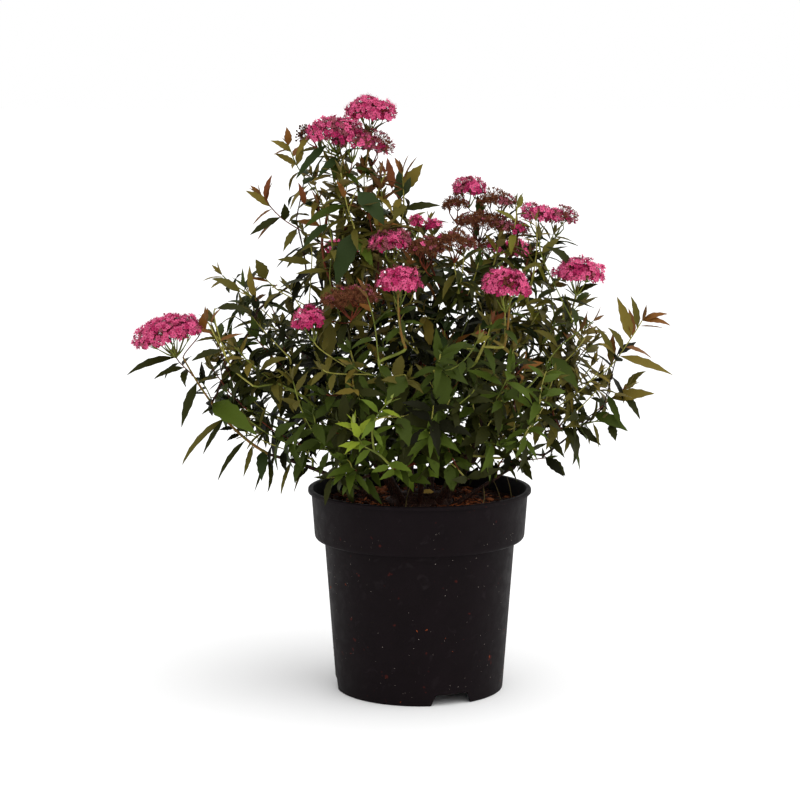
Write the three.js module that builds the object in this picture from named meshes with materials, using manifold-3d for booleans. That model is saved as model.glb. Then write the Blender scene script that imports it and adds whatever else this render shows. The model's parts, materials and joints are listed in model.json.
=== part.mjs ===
// A flowering spirea shrub in a nursery pot.
//
// Millimetres, +Z up. The origin is on the pot's axis, on the surface that the pot stands on; the shrub's
// best side faces -Y. A round pot holds a fill of compost. Woody stems rise from a low base in its middle
// and arch outwards, and each one ends where it enters a mass of foliage or blossom. The masses are uneven
// closed lobes laid along their own shoots, with a hair of clearance wherever two solids meet.

import * as THREE from "three";
import { mergeVertices } from "three/addons/utils/BufferGeometryUtils.js";
import Module from "manifold-3d";

const wasm = await Module();
wasm.setup();

// ---------------------------------------------------------------- driving dimensions

const CLEARANCE = 0.4; // between any two solids that touch on the real plant
const LIMB_CLEARANCE = 0.6; // round a limb where it passes through foliage

const pot = {
  height: 200,
  lipRadius: 110,
  lipHeight: 3.5,
  collarTopRadius: 106.8,
  collarFootRadius: 103.4,
  collarHeight: 50,
  collarCorner: 5,
  cornerSteps: 2,
  bodyTopRadius: 94,
  footRadius: 82.8,
  wall: 1.6,
  floorLift: 12, // the floor stands this far above the ground on the foot ring
  padRadius: 26, // the floor dips to the ground in the middle
  padSlope: 7,
  segments: 32,
};

const drains = {
  headings: [-68, 180, 56], // degrees; each is a gap in the foot ring
  widthBelow: 41.6,
  widthAbove: 33,
  height: 11,
  reach: 15, // how far in from the foot ring a gap is cut
  holeRadius: 5,
  holeCircle: 62,
  holeCount: 6,
};

const compost = {
  top: 184,
  mound: 3, // how far the surface rises and dips away from the level patch in the middle
  levelRadius: 52,
  segments: 14,
};

const stemBase = { radius: 33, height: 11, knobs: 3, knobShare: 0.12 };
const BIG = 300; // larger than anything that is cut with it

// ---------------------------------------------------------------- the plant, in named sizes

// Woody stems. foot: heading and distance of the foot from the pot's axis. elbow: where the stem aims
// before it bends. tip: where it ends, just inside its mass. thick: radius at the foot, before the flare.
const stems = [
  { name: "stem_front_left", foot: [235, 24], elbow: [-28, -38, 216], tip: [-54, -76, 262], thick: 3.1 },
  { name: "stem_front", foot: [268, 26], elbow: [2, -40, 212], tip: [6, -84, 258], thick: 2.8 },
  { name: "stem_front_right", foot: [310, 25], elbow: [30, -34, 216], tip: [58, -70, 262], thick: 3.3 },
  { name: "stem_right", foot: [352, 25], elbow: [40, -4, 220], tip: [92, -2, 270], thick: 3.4 },
  { name: "stem_back_right", foot: [38, 26], elbow: [34, 28, 216], tip: [64, 64, 262], thick: 3.0 },
  { name: "stem_back", foot: [85, 25], elbow: [0, 44, 214], tip: [-2, 84, 262], thick: 3.1 },
  { name: "stem_back_left", foot: [132, 26], elbow: [-34, 34, 214], tip: [-62, 64, 258], thick: 2.9 },
  { name: "stem_left", foot: [168, 22], elbow: [-36, 6, 222], tip: [-86, -12, 268], thick: 3.4 },
  { name: "leader_left", foot: [200, 9], elbow: [-8, -2, 232], tip: [-14, -2, 276], thick: 3.9 },
  { name: "leader_right", foot: [20, 10], elbow: [12, 6, 232], tip: [20, 8, 276], thick: 3.7 },
  { name: "stem_low_right", foot: [334, 37], elbow: [64, -20, 206], tip: [112, 4, 232], thick: 2.1 },
];

// The long stem that arches out over the rim. It is one limb, split at its bend.
const arch = {
  foot: [196, 36],
  elbow: [-86, -21, 220],
  bend: [-146, -28, 237],
  upperElbow: [-192, -34, 262],
  tip: [-228, -40, 334],
  thick: 2.8,
};

// Bare shoots that carry the highest masses clear of the ones below.
const shoots = [
  {
    name: "shoot_top_left",
    foot: [-70, -10, 504],
    elbow: [-74, -12, 520],
    tip: [-82, -12, 548],
    thick: 1.5,
  },
  { name: "shoot_top_right", foot: [-54, -6, 508], elbow: [-50, -4, 528], tip: [-46, 0, 554], thick: 1.4 },
  {
    name: "shoot_front_left",
    foot: [-14, -118, 352],
    elbow: [-22, -128, 372],
    tip: [-21, -126, 404],
    thick: 1.4,
  },
  {
    name: "shoot_front_right",
    foot: [78, -104, 352],
    elbow: [82, -112, 372],
    tip: [83, -108, 402],
    thick: 1.4,
  },
  { name: "shoot_right", foot: [136, -10, 350], elbow: [148, -16, 368], tip: [154, -19, 410], thick: 1.4 },
  { name: "shoot_right_top", foot: [94, 12, 436], elbow: [97, 16, 450], tip: [94, 22, 476], thick: 1.4 },
];

const limbShape = {
  tipShare: 0.5, // a limb's tip radius, as a share of its foot radius
  flareShare: 0.5, // how much the foot of a stem swells, as a share of its radius
  flareLength: 9, // how far up the flare fades
  sides: 6,
  steps: 5,
};

// Lobes of foliage and blossom, inner ones first: a later lobe gives way to an earlier one.
// root and tip: its ends. girth: its greatest half-width. flat: its depth across that, as a share.
// lift: how far its middle is bowed up from the straight line between root and tip.
const lobes = [
  // the heart of the crown
  { name: "crown_centre", root: [0, 0, 256], tip: [6, 2, 440], girth: 66, flat: 0.95, lift: 0 },
  { name: "crown_front", root: [4, -52, 214], tip: [22, -148, 366], girth: 54, flat: 0.85, lift: 8 },
  { name: "crown_back", root: [0, 52, 216], tip: [-6, 162, 366], girth: 58, flat: 0.9, lift: 8 },
  { name: "crown_left", root: [-50, -10, 226], tip: [-172, -8, 356], girth: 56, flat: 0.9, lift: 10 },
  { name: "crown_right", root: [52, -2, 226], tip: [176, 0, 364], girth: 56, flat: 0.9, lift: 10 },
  {
    name: "crown_front_left",
    root: [-30, -52, 216],
    tip: [-100, -124, 358],
    girth: 52,
    flat: 0.85,
    lift: 6,
  },
  { name: "crown_front_right", root: [34, -50, 218], tip: [106, -114, 372], girth: 52, flat: 0.85, lift: 6 },
  { name: "crown_back_left", root: [-40, 44, 218], tip: [-120, 122, 356], girth: 56, flat: 0.9, lift: 6 },
  { name: "crown_back_right", root: [40, 46, 220], tip: [114, 124, 364], girth: 56, flat: 0.9, lift: 6 },
  // its upper storey
  { name: "upper_left", root: [-52, -4, 352], tip: [-62, -10, 524], girth: 46, flat: 0.85, lift: 0 },
  { name: "upper_right", root: [62, 10, 352], tip: [100, 16, 450], girth: 44, flat: 0.9, lift: 0 },
  { name: "upper_back_left", root: [-60, 60, 344], tip: [-66, 106, 418], girth: 42, flat: 0.85, lift: 0 },
  { name: "upper_back_right", root: [56, 70, 346], tip: [86, 120, 416], girth: 42, flat: 0.85, lift: 0 },
  { name: "upper_back", root: [-4, 62, 362], tip: [-2, 112, 478], girth: 38, flat: 0.85, lift: 0 },
  // low foliage over the rim
  { name: "skirt_left", root: [-34, -58, 216], tip: [-112, -112, 224], girth: 24, flat: 0.5, lift: 8 },
  { name: "skirt_right", root: [26, -62, 216], tip: [72, -124, 226], girth: 22, flat: 0.5, lift: 8 },
  // sprays that reach out past the crown
  { name: "spray_top_left", root: [-84, -2, 476], tip: [-148, 0, 546], girth: 19, flat: 0.8, lift: 4 },
  { name: "spray_upper_left", root: [-84, 0, 428], tip: [-172, 0, 506], girth: 22, flat: 0.8, lift: 4 },
  { name: "spray_top_right", root: [-36, -4, 448], tip: [8, -8, 528], girth: 20, flat: 0.8, lift: 3 },
  { name: "spray_left", root: [-124, 8, 356], tip: [-208, 14, 426], girth: 30, flat: 0.75, lift: 8 },
  { name: "spray_left_edge", root: [-150, -22, 290], tip: [-240, -26, 312], girth: 28, flat: 0.85, lift: 6 },
  {
    name: "spray_hanging_left",
    root: [-92, -36, 234],
    tip: [-242, -36, 230],
    girth: 28,
    flat: 0.9,
    lift: 2,
  },
  { name: "spray_right_upper", root: [150, -4, 318], tip: [250, -10, 366], girth: 30, flat: 0.75, lift: 6 },
  { name: "spray_right_lower", root: [136, 0, 264], tip: [240, 0, 288], girth: 28, flat: 0.75, lift: 6 },
  { name: "spray_low_right", root: [86, 6, 236], tip: [184, -2, 222], girth: 21, flat: 0.8, lift: 8 },
  { name: "spray_back_left", root: [-118, 112, 316], tip: [-192, 160, 386], girth: 29, flat: 0.75, lift: 6 },
  { name: "spray_back_right", root: [116, 112, 316], tip: [188, 158, 386], girth: 29, flat: 0.75, lift: 6 },
  { name: "spray_back", root: [-2, 140, 274], tip: [8, 238, 316], girth: 30, flat: 0.75, lift: 8 },
  // pads of blossom and of spent heads, wider than they are deep
  { name: "blossom_top", root: [-116, -24, 540], tip: [-20, 8, 572], girth: 33, flat: 0.5, lift: -2 },
  { name: "blossom_middle", root: [-48, -40, 430], tip: [60, -34, 442], girth: 26, flat: 0.6, lift: 10 },
  { name: "blossom_right_top", root: [12, 28, 470], tip: [158, 20, 460], girth: 27, flat: 0.7, lift: 36 },
  { name: "blossom_front_left", root: [-48, -128, 412], tip: [6, -120, 416], girth: 19, flat: 0.6, lift: 5 },
  {
    name: "blossom_front_right",
    root: [54, -106, 410],
    tip: [112, -108, 410],
    girth: 22,
    flat: 0.68,
    lift: 5,
  },
  { name: "blossom_right", root: [124, -20, 410], tip: [186, -20, 418], girth: 20, flat: 0.6, lift: 5 },
  { name: "blossom_left", root: [-206, -40, 346], tip: [-288, -40, 340], girth: 26, flat: 1.0, lift: 6 },
  { name: "blossom_back_left", root: [-86, 110, 421], tip: [-40, 125, 424], girth: 20, flat: 0.6, lift: 5 },
  { name: "blossom_back_right", root: [64, 130, 424], tip: [110, 120, 421], girth: 20, flat: 0.6, lift: 5 },
];

const lobeShape = {
  broadLump: 0.14, // height of the lumps, as a share of the girth
  fineLump: 0.12,
  turn: 1.7, // radians from one lobe's lumps to the next one's
  largeGirth: 35, // lobes wider than this get more facets
  largeFacets: [9, 6],
  smallFacets: [8, 6],
};

// ---------------------------------------------------------------- solids, cuts and meshes

const vec = (p) => new THREE.Vector3(...p);

/** A manifold-3d solid of a closed three.js geometry. */
function solidOf(geometry) {
  const bare = geometry.clone();
  for (const name of Object.keys(bare.attributes)) {
    if (name !== "position") bare.deleteAttribute(name);
  }
  const merged = mergeVertices(bare, 1e-3);
  return new wasm.Manifold(
    new wasm.Mesh({
      numProp: 3,
      vertProperties: new Float32Array(merged.getAttribute("position").array),
      triVerts: new Uint32Array(merged.index.array),
    }),
  );
}

/** The three.js geometry of a solid. */
function geometryOf(solid) {
  const { vertProperties, triVerts } = solid.getMesh();
  const geometry = new THREE.BufferGeometry();
  geometry.setAttribute("position", new THREE.BufferAttribute(new Float32Array(vertProperties), 3));
  geometry.setIndex(new THREE.BufferAttribute(new Uint32Array(triVerts), 1));
  geometry.computeVertexNormals();
  return geometry;
}

/** The solid with the others cut out of it, as one body: stray slivers are dropped. */
function cutBy(solid, others) {
  const left = others.reduce((rest, other) => rest.subtract(other), solid);
  return left.decompose().reduce((a, b) => (a.volume() > b.volume() ? a : b));
}

const shrub = new THREE.Group();

function addPiece(name, solid, material) {
  const mesh = new THREE.Mesh(geometryOf(solid), material);
  mesh.name = name;
  shrub.add(mesh);
}

const finish = (color, roughness) => new THREE.MeshStandardMaterial({ color, roughness, metalness: 0 });
const materials = {
  pot: finish(0x1d1b1e, 0.45),
  compost: finish(0x3a2118, 0.95),
  bark: finish(0x4a2a20, 0.8),
  greenStem: finish(0x8a8a3c, 0.6),
  foliage: finish(0x33481f, 0.6),
  blossom: finish(0xc8386f, 0.7),
};

/** A unit vector square to a tangent: level for a leaning curve, in the XZ plane for an upright one. */
function sideways(tangent, upright) {
  const side = new THREE.Vector3();
  if (upright) side.crossVectors(new THREE.Vector3(0, 1, 0), tangent);
  else side.crossVectors(tangent, new THREE.Vector3(0, 0, 1));
  return side.normalize();
}

/**
 * Lays a geometry that runs from y = -1 to +1 along a curve. `across` gives the half-width and the
 * half-depth at each vertex, from its place along the curve (0 to 1) and its angle round it.
 * `swell` moves the whole skin outwards by a distance.
 */
function layAlong(geometry, curve, across, swell) {
  const chord = curve.getPoint(1).sub(curve.getPoint(0)).normalize();
  const laid = geometry.clone();
  const position = laid.getAttribute("position");
  for (let i = 0; i < position.count; i += 1) {
    const [x, y, z] = [position.getX(i), position.getY(i), position.getZ(i)];
    const u = THREE.MathUtils.clamp((y + 1) / 2, 0, 1);
    const tangent = curve.getTangent(u);
    const side = sideways(tangent, chord.z > 0.8);
    const depth = new THREE.Vector3().crossVectors(side, tangent);
    const [halfWidth, halfDepth] = across(u, Math.atan2(z, x));
    const point = curve
      .getPoint(u)
      .addScaledVector(tangent, y * swell)
      .addScaledVector(side, x * (halfWidth + swell))
      .addScaledVector(depth, z * (halfDepth + swell));
    position.setXYZ(i, point.x, point.y, point.z);
  }
  return laid;
}

// ---------------------------------------------------------------- pot and compost

/** Points of a rounded corner, in a lathe's half-plane. Angles in degrees. */
function corner(x, y, radius, from, to) {
  return Array.from({ length: pot.cornerSteps + 1 }, (_, i) => {
    const a = THREE.MathUtils.degToRad(from + ((to - from) * i) / pot.cornerSteps);
    return [x + radius * Math.cos(a), y + radius * Math.sin(a)];
  });
}

/** Outer radius of the tapered body at a height. */
const bodyRadius = (z) =>
  THREE.MathUtils.mapLinear(z, 0, pot.height - pot.collarHeight, pot.footRadius, pot.bodyTopRadius);

/** A turned solid: a lathe's profile, stood up so that its axis is +Z. */
function turned(profile, segments) {
  const points = profile.map(([r, z]) => new THREE.Vector2(r, z));
  return solidOf(new THREE.LatheGeometry(points, segments).rotateX(Math.PI / 2));
}

function makePot() {
  const { height, wall, floorLift, padRadius, padSlope, collarCorner } = pot;
  const collarFoot = height - pot.collarHeight;
  const lipFoot = height - pot.lipHeight;
  const lipInner = pot.collarTopRadius - wall;
  const shell = turned(
    [
      [0, 0],
      [padRadius, 0],
      [padRadius + padSlope, floorLift],
      [bodyRadius(floorLift) - 2 * wall, floorLift],
      [pot.footRadius - 2 * wall, 0],
      [pot.footRadius, 0],
      [pot.bodyTopRadius, collarFoot],
      ...corner(pot.collarFootRadius - collarCorner, collarFoot + collarCorner, collarCorner, -90, 0),
      [pot.collarTopRadius, lipFoot],
      [pot.lipRadius, lipFoot],
      [pot.lipRadius, height - 1],
      [pot.lipRadius - 1, height],
      [lipInner, height],
      [pot.collarFootRadius - wall, collarFoot + collarCorner],
      [pot.collarFootRadius - collarCorner, collarFoot + wall],
      [pot.bodyTopRadius - wall, collarFoot + wall],
      [bodyRadius(floorLift) - wall, floorLift + wall],
      [padRadius + padSlope, floorLift + wall],
      [padRadius, wall],
      [0, wall],
    ],
    pot.segments,
  );

  const { widthBelow, widthAbove, reach } = drains;
  const over = 5; // how far a cutter runs past what it cuts
  const gap = new THREE.Shape([
    new THREE.Vector2(-widthBelow / 2, -over),
    new THREE.Vector2(-widthBelow / 2, 0),
    new THREE.Vector2(-widthAbove / 2, drains.height),
    new THREE.Vector2(widthAbove / 2, drains.height),
    new THREE.Vector2(widthBelow / 2, 0),
    new THREE.Vector2(widthBelow / 2, -over),
  ]);
  const gaps = drains.headings.map((heading) =>
    solidOf(
      new THREE.ExtrudeGeometry(gap, { depth: reach + over, bevelEnabled: false })
        .translate(0, 0, pot.footRadius - reach)
        .rotateX(Math.PI / 2)
        .rotateZ(THREE.MathUtils.degToRad(heading + 90)),
    ),
  );
  const holes = Array.from({ length: drains.holeCount }, (_, i) => {
    const a = (2 * Math.PI * (i + 0.5)) / drains.holeCount;
    return solidOf(
      new THREE.CylinderGeometry(drains.holeRadius, drains.holeRadius, 2 * over, 6)
        .rotateX(Math.PI / 2)
        .translate(drains.holeCircle * Math.cos(a), drains.holeCircle * Math.sin(a), floorLift),
    );
  });
  return cutBy(shell, [...gaps, ...holes]);
}

function makeCompost() {
  const { top, mound, levelRadius, segments } = compost;
  const { wall, floorLift, padRadius, padSlope, collarCorner } = pot;
  const collarFoot = pot.height - pot.collarHeight;
  const collarRadius = (z) =>
    THREE.MathUtils.mapLinear(z, collarFoot, pot.height, pot.collarFootRadius, pot.collarTopRadius);
  const inset = wall + 2 * CLEARANCE;
  const profile = [
    [0, inset],
    [padRadius - CLEARANCE, inset],
    [padRadius + padSlope - CLEARANCE, floorLift + inset],
    [bodyRadius(floorLift) - inset, floorLift + inset],
    [pot.bodyTopRadius - inset, collarFoot + inset],
    [pot.collarFootRadius - collarCorner, collarFoot + inset],
    [pot.collarFootRadius - inset, collarFoot + collarCorner + inset],
    [collarRadius(top) - inset, top],
    [(collarRadius(top) + levelRadius) / 2, top],
    [levelRadius, top],
    [0, top],
  ];
  const points = profile.map(([r, z]) => new THREE.Vector2(r, z));
  const geometry = new THREE.LatheGeometry(points, segments);
  const position = geometry.getAttribute("position");
  for (let i = 0; i < position.count; i += 1) {
    const [x, y, z] = [position.getX(i), position.getY(i), position.getZ(i)];
    const uneven = Math.sin(x / 17 + 1) * Math.cos(z / 21) * mound;
    if (y === top && Math.hypot(x, z) > levelRadius + 1) position.setY(i, top + uneven);
  }
  return solidOf(geometry.rotateX(Math.PI / 2));
}

// ---------------------------------------------------------------- stems

/** A tapering round limb along a curve. A flare swells its foot. */
function limb(curve, thick, flare, swell) {
  const { tipShare, flareLength, sides, steps } = limbShape;
  const length = curve.getLength();
  const across = (u) => {
    const radius = thick * (1 + (tipShare - 1) * u) + flare * Math.exp((-u * length) / flareLength);
    return [radius, radius];
  };
  return solidOf(layAlong(new THREE.CylinderGeometry(1, 1, 2, sides, steps), curve, across, swell));
}

/** The foot of a stem, a little below ground level, from its heading and its distance from the axis. */
function footOf([heading, distance]) {
  const a = THREE.MathUtils.degToRad(heading);
  return new THREE.Vector3(distance * Math.cos(a), distance * Math.sin(a), compost.top - 4);
}

/** What lies below the flat cut at ground level. */
const ground = solidOf(
  new THREE.BoxGeometry(BIG, BIG, BIG).translate(0, 0, compost.top + CLEARANCE - BIG / 2),
);

const limbs = [];

function addLimb(name, curve, thick, flare, material) {
  const whole = limb(curve, thick, flare, 0);
  limbs.push({
    name,
    solid: flare ? cutBy(whole, [ground]) : whole,
    swollen: limb(curve, thick, flare, LIMB_CLEARANCE),
    material,
  });
}

for (const { name, foot, elbow, tip, thick } of stems) {
  const curve = new THREE.QuadraticBezierCurve3(footOf(foot), vec(elbow), vec(tip));
  addLimb(name, curve, thick, thick * limbShape.flareShare, materials.bark);
}

const archLower = new THREE.QuadraticBezierCurve3(footOf(arch.foot), vec(arch.elbow), vec(arch.bend));
const archJoint = archLower.v2.clone().addScaledVector(archLower.getTangent(1), CLEARANCE);
const archUpper = new THREE.QuadraticBezierCurve3(archJoint, vec(arch.upperElbow), vec(arch.tip));
addLimb("arching_stem_lower", archLower, arch.thick, arch.thick * limbShape.flareShare, materials.bark);
addLimb("arching_stem_upper", archUpper, arch.thick * limbShape.tipShare, 0, materials.greenStem);

for (const { name, foot, elbow, tip, thick } of shoots) {
  const curve = new THREE.QuadraticBezierCurve3(vec(foot), vec(elbow), vec(tip));
  addLimb(name, curve, thick, 0, materials.greenStem);
}

/** The low knobbly base that the stems rise from, cut round their feet. */
function makeStemBase() {
  const { radius, height, knobs, knobShare } = stemBase;
  const dome = new THREE.SphereGeometry(1, 9, 4).rotateX(Math.PI / 2);
  const position = dome.getAttribute("position");
  for (let i = 0; i < position.count; i += 1) {
    const [x, y, z] = [position.getX(i), position.getY(i), position.getZ(i)];
    const reach = radius * (1 + knobShare * Math.sin(knobs * Math.atan2(y, x)) * (1 - Math.abs(z)));
    position.setXYZ(i, x * reach, y * reach, compost.top + z * height);
  }
  return cutBy(solidOf(dome), [ground, ...limbs.map((l) => l.swollen)]);
}

// ---------------------------------------------------------------- foliage and blossom

/** An uneven closed lobe laid along its shoot. `turn` sets where its lumps fall. */
function lobe({ root, tip, girth, flat, lift }, turn, swell) {
  const { broadLump, fineLump, largeGirth, largeFacets, smallFacets } = lobeShape;
  const middle = vec(root).lerp(vec(tip), 0.5);
  middle.z += lift;
  const curve = new THREE.QuadraticBezierCurve3(vec(root), middle, vec(tip));
  const across = (u, angle) => {
    const broad = broadLump * Math.sin(2 * angle + turn + 5 * u);
    const fine = fineLump * Math.sin(3 * angle - 2 * turn) * Math.cos(9 * u + turn);
    const halfWidth = girth * (1 + broad + fine);
    return [halfWidth, halfWidth * flat];
  };
  const facets = girth > largeGirth ? largeFacets : smallFacets;
  return solidOf(layAlong(new THREE.SphereGeometry(1, ...facets), curve, across, swell));
}

const masses = [];
lobes.forEach((row, i) => {
  const turn = lobeShape.turn * i;
  const inTheWay = [...limbs, ...masses].map((other) => other.swollen);
  masses.push({
    name: row.name,
    solid: cutBy(lobe(row, turn, 0), inTheWay),
    swollen: lobe(row, turn, CLEARANCE),
    material: row.name.startsWith("blossom") ? materials.blossom : materials.foliage,
  });
});

// ---------------------------------------------------------------- the assembly

addPiece("pot", makePot(), materials.pot);
addPiece("compost", makeCompost(), materials.compost);
addPiece("stem_base", makeStemBase(), materials.bark);
for (const { name, solid, material } of [...limbs, ...masses]) addPiece(name, solid, material);

export default shrub;
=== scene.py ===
"""A spirea shrub with flat heads of pink blossom, in a black nursery pot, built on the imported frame."""

import json
import math
import random

import bmesh
import bpy
import numpy as np
from mathutils import Matrix, Vector, noise
from mathutils.bvhtree import BVHTree

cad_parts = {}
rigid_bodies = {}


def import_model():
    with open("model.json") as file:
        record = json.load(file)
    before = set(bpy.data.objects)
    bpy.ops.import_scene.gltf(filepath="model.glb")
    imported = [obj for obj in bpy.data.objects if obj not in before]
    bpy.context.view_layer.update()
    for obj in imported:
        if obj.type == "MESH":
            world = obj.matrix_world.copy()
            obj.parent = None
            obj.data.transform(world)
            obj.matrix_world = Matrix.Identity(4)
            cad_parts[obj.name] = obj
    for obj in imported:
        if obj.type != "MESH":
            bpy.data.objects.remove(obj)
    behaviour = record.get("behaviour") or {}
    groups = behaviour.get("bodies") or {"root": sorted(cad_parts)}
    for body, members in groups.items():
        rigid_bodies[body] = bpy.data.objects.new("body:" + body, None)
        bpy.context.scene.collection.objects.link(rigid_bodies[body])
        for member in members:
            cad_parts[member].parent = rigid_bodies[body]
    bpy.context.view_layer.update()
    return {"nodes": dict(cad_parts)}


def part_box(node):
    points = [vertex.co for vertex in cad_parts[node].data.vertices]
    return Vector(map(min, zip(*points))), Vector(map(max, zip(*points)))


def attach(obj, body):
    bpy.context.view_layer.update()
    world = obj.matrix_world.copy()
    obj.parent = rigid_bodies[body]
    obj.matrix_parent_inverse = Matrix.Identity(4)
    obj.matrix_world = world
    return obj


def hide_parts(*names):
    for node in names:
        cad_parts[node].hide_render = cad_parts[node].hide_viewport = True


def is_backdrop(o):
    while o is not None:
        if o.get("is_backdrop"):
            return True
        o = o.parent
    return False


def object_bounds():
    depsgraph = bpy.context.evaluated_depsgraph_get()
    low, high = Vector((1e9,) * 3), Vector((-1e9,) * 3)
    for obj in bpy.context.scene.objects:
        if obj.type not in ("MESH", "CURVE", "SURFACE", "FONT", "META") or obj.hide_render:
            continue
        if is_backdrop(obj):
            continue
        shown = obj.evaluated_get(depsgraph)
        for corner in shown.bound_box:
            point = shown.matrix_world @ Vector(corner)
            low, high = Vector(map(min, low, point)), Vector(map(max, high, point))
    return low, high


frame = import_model()

# ---------------------------------------------------------------- camera, floor and light
# The pot stands on a plain pale floor with no edge in sight, in a white room. One very
# broad lamp high on the right gives the leaves their shape and the floor a faint shadow.

MM = 0.001

camera_place = (-19.3, -2290.7, 612.7)  # mm
camera_pitch = 8.1  # degrees below level
camera_lens = 106.1  # mm
camera_frame = 36.0  # mm across
floor_reach = 60.0  # metres
floor_drop = 0.2  # mm below the foot of the pot, so that the two faces don't fight
lamp_turn = 62.0  # degrees from straight behind the camera, towards the right
lamp_height = 58.0  # degrees above the floor
lamp_breadth = 80.0  # degrees across, seen from the pot
lamp_strength = 1.5


def linear(colour):
    """An sRGB hex colour as linear red, green, blue and alpha."""
    parts = [int(colour[i : i + 2], 16) / 255 for i in (1, 3, 5)]
    return [p / 12.92 if p <= 0.04045 else ((p + 0.055) / 1.055) ** 2.4 for p in parts] + [1.0]


def add_node(tree, kind, inputs=None, settings=None):
    """Adds a node. inputs maps a socket to its value, to the output that feeds it, or to the
    node whose first output does."""
    node = tree.nodes.new(kind)
    for name, value in (settings or {}).items():
        setattr(node, name, value)
    for key, value in (inputs or {}).items():
        if isinstance(value, bpy.types.Node):
            value = value.outputs[0]
        if isinstance(value, bpy.types.NodeSocket):
            tree.links.new(value, node.inputs[key])
        else:
            node.inputs[key].default_value = value
    return node


def empty_material(name):
    """A material with an empty node tree."""
    material = bpy.data.materials.new(name)
    material.use_nodes = True
    material.node_tree.nodes.clear()
    return material


def placed(name, data):
    """An object at the origin with this data, in the scene."""
    made = bpy.data.objects.new(name, data)
    bpy.context.scene.collection.objects.link(made)
    return made


def mesh_object(name, points, faces, material):
    """An object at the origin with this mesh, smooth."""
    mesh = bpy.data.meshes.new(name)
    mesh.from_pydata([tuple(p) for p in points], [], faces)
    mesh.shade_smooth()
    mesh.materials.append(material)
    return placed(name, mesh)


def aim(turn, height):
    """The turn that points an object's -Z down at the pot from that side and height, in degrees."""
    return (math.radians(90 - height), 0, math.radians(turn))


# Matt white paper: it shows nothing but the soft shadow.
floor_paper = empty_material("white_paper")
tree = floor_paper.node_tree
paper = add_node(tree, "ShaderNodeBsdfPrincipled", {"Base Color": linear("#f6f6f6"), "Roughness": 0.9})
add_node(tree, "ShaderNodeOutputMaterial", {"Surface": paper})

reach = floor_reach / 2
corners = [(-reach, -reach), (reach, -reach), (reach, reach), (-reach, reach)]
floor = mesh_object("floor", [(x, y, -floor_drop * MM) for x, y in corners], [(0, 1, 2, 3)], floor_paper)
floor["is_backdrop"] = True

lamp_data = bpy.data.lights.new("lamp", "SUN")
lamp_data.energy = lamp_strength
lamp_data.angle = math.radians(lamp_breadth)
lamp = placed("lamp", lamp_data)
lamp.rotation_euler = aim(lamp_turn, lamp_height)

room = bpy.data.worlds.new("white_room")
room.use_nodes = True
tree = room.node_tree
tree.nodes.clear()
pale = add_node(tree, "ShaderNodeBackground", {"Color": linear("#ffffff"), "Strength": 1.0})
add_node(tree, "ShaderNodeOutputWorld", {"Surface": pale})
bpy.context.scene.world = room
bpy.context.scene.view_settings.view_transform = "Standard"

camera_data = bpy.data.cameras.new("camera")
camera_data.lens = camera_lens
camera_data.sensor_width = camera_frame
camera = placed("camera", camera_data)
camera.location = Vector(camera_place) * MM
camera.rotation_euler = aim(0, camera_pitch)
bpy.context.scene.camera = camera

# ---------------------------------------------------------------- pot
# A thin-walled nursery pot, injection-moulded from black polypropylene. Its body tapers
# to a foot ring with three drain gaps, and a deep collar carries the lip.

pot_height = 200.0  # mm, as are the sizes below
pot_wall = 1.6
lip_radius = 110.0
lip_height = 3.5
collar_top = 106.8
collar_foot = 103.4
collar_height = 50.0
body_top = 94.0
foot_radius = 82.8
floor_lift = 12.0  # the floor stands this far above the ground
pad_radius = 26.0  # the floor dips to the ground in the middle
pad_slope = 7.0
pot_sides = 192
corner_steps = 4
drain_headings = (-68.0, 180.0, 56.0)  # degrees
drain_below = 41.6
drain_above = 33.0
drain_height = 11.0
drain_reach = 15.0
hole_radius = 5.0
hole_circle = 62.0
hole_count = 6
hole_sides = 24
hole_cut = 12.0  # the length of the cutter for a hole
cutter_past = 5.0  # how far a cutter stands past the face it cuts
cutter_flare = 2.0
inner_step = 4.0  # inside, the wall steps out this far above the foot of the collar
grime_patch = 29.4  # the grain of each pattern in the plastic
scuff_patch = 11.1
smear_patch = 9.1
peel_grain = 2.38


def heading(degrees, radius, height):
    """A point in mm by its heading from +X, its distance from the axis and its height."""
    a = math.radians(degrees)
    return Vector((radius * math.cos(a), radius * math.sin(a), height))


def rounded(corners):
    """A profile of (radius, height, rounding) corners, with each corner rounded off."""
    points = []
    for i, (r, z, rounding) in enumerate(corners):
        here = Vector((r, z))
        if rounding == 0:
            points.append(here)
            continue
        before = Vector(corners[i - 1][:2])
        after = Vector(corners[i + 1][:2])
        start = here + (before - here).normalized() * rounding
        end = here + (after - here).normalized() * rounding
        for k in range(corner_steps + 1):
            t = k / corner_steps
            points.append(start.lerp(here, t).lerp(here.lerp(end, t), t))
    return points


def lathe(profile, sides, shape=lambda point: point):
    """A closed turned mesh, from a profile in mm that starts and ends on the axis."""
    mesh = bmesh.new()
    rings = []
    for radius, height in profile:
        count = sides if radius > 0 else 1
        places = [heading(360 * i / count, radius, height) for i in range(count)]
        rings.append([mesh.verts.new(shape(p) * MM) for p in places])
    for low, high in zip(rings, rings[1:]):
        for i in range(sides):
            j = i + 1
            ring = (low[i % len(low)], low[j % len(low)], high[j % len(high)], high[i % len(high)])
            mesh.faces.new(dict.fromkeys(ring))
    bmesh.ops.recalc_face_normals(mesh, faces=mesh.faces)
    return mesh


def object_from(mesh, name, material=None):
    """An object at the origin from a finished bmesh, smooth."""
    data = bpy.data.meshes.new(name)
    mesh.to_mesh(data)
    mesh.free()
    data.shade_smooth()
    if material:
        data.materials.append(material)
    return placed(name, data)


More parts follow.
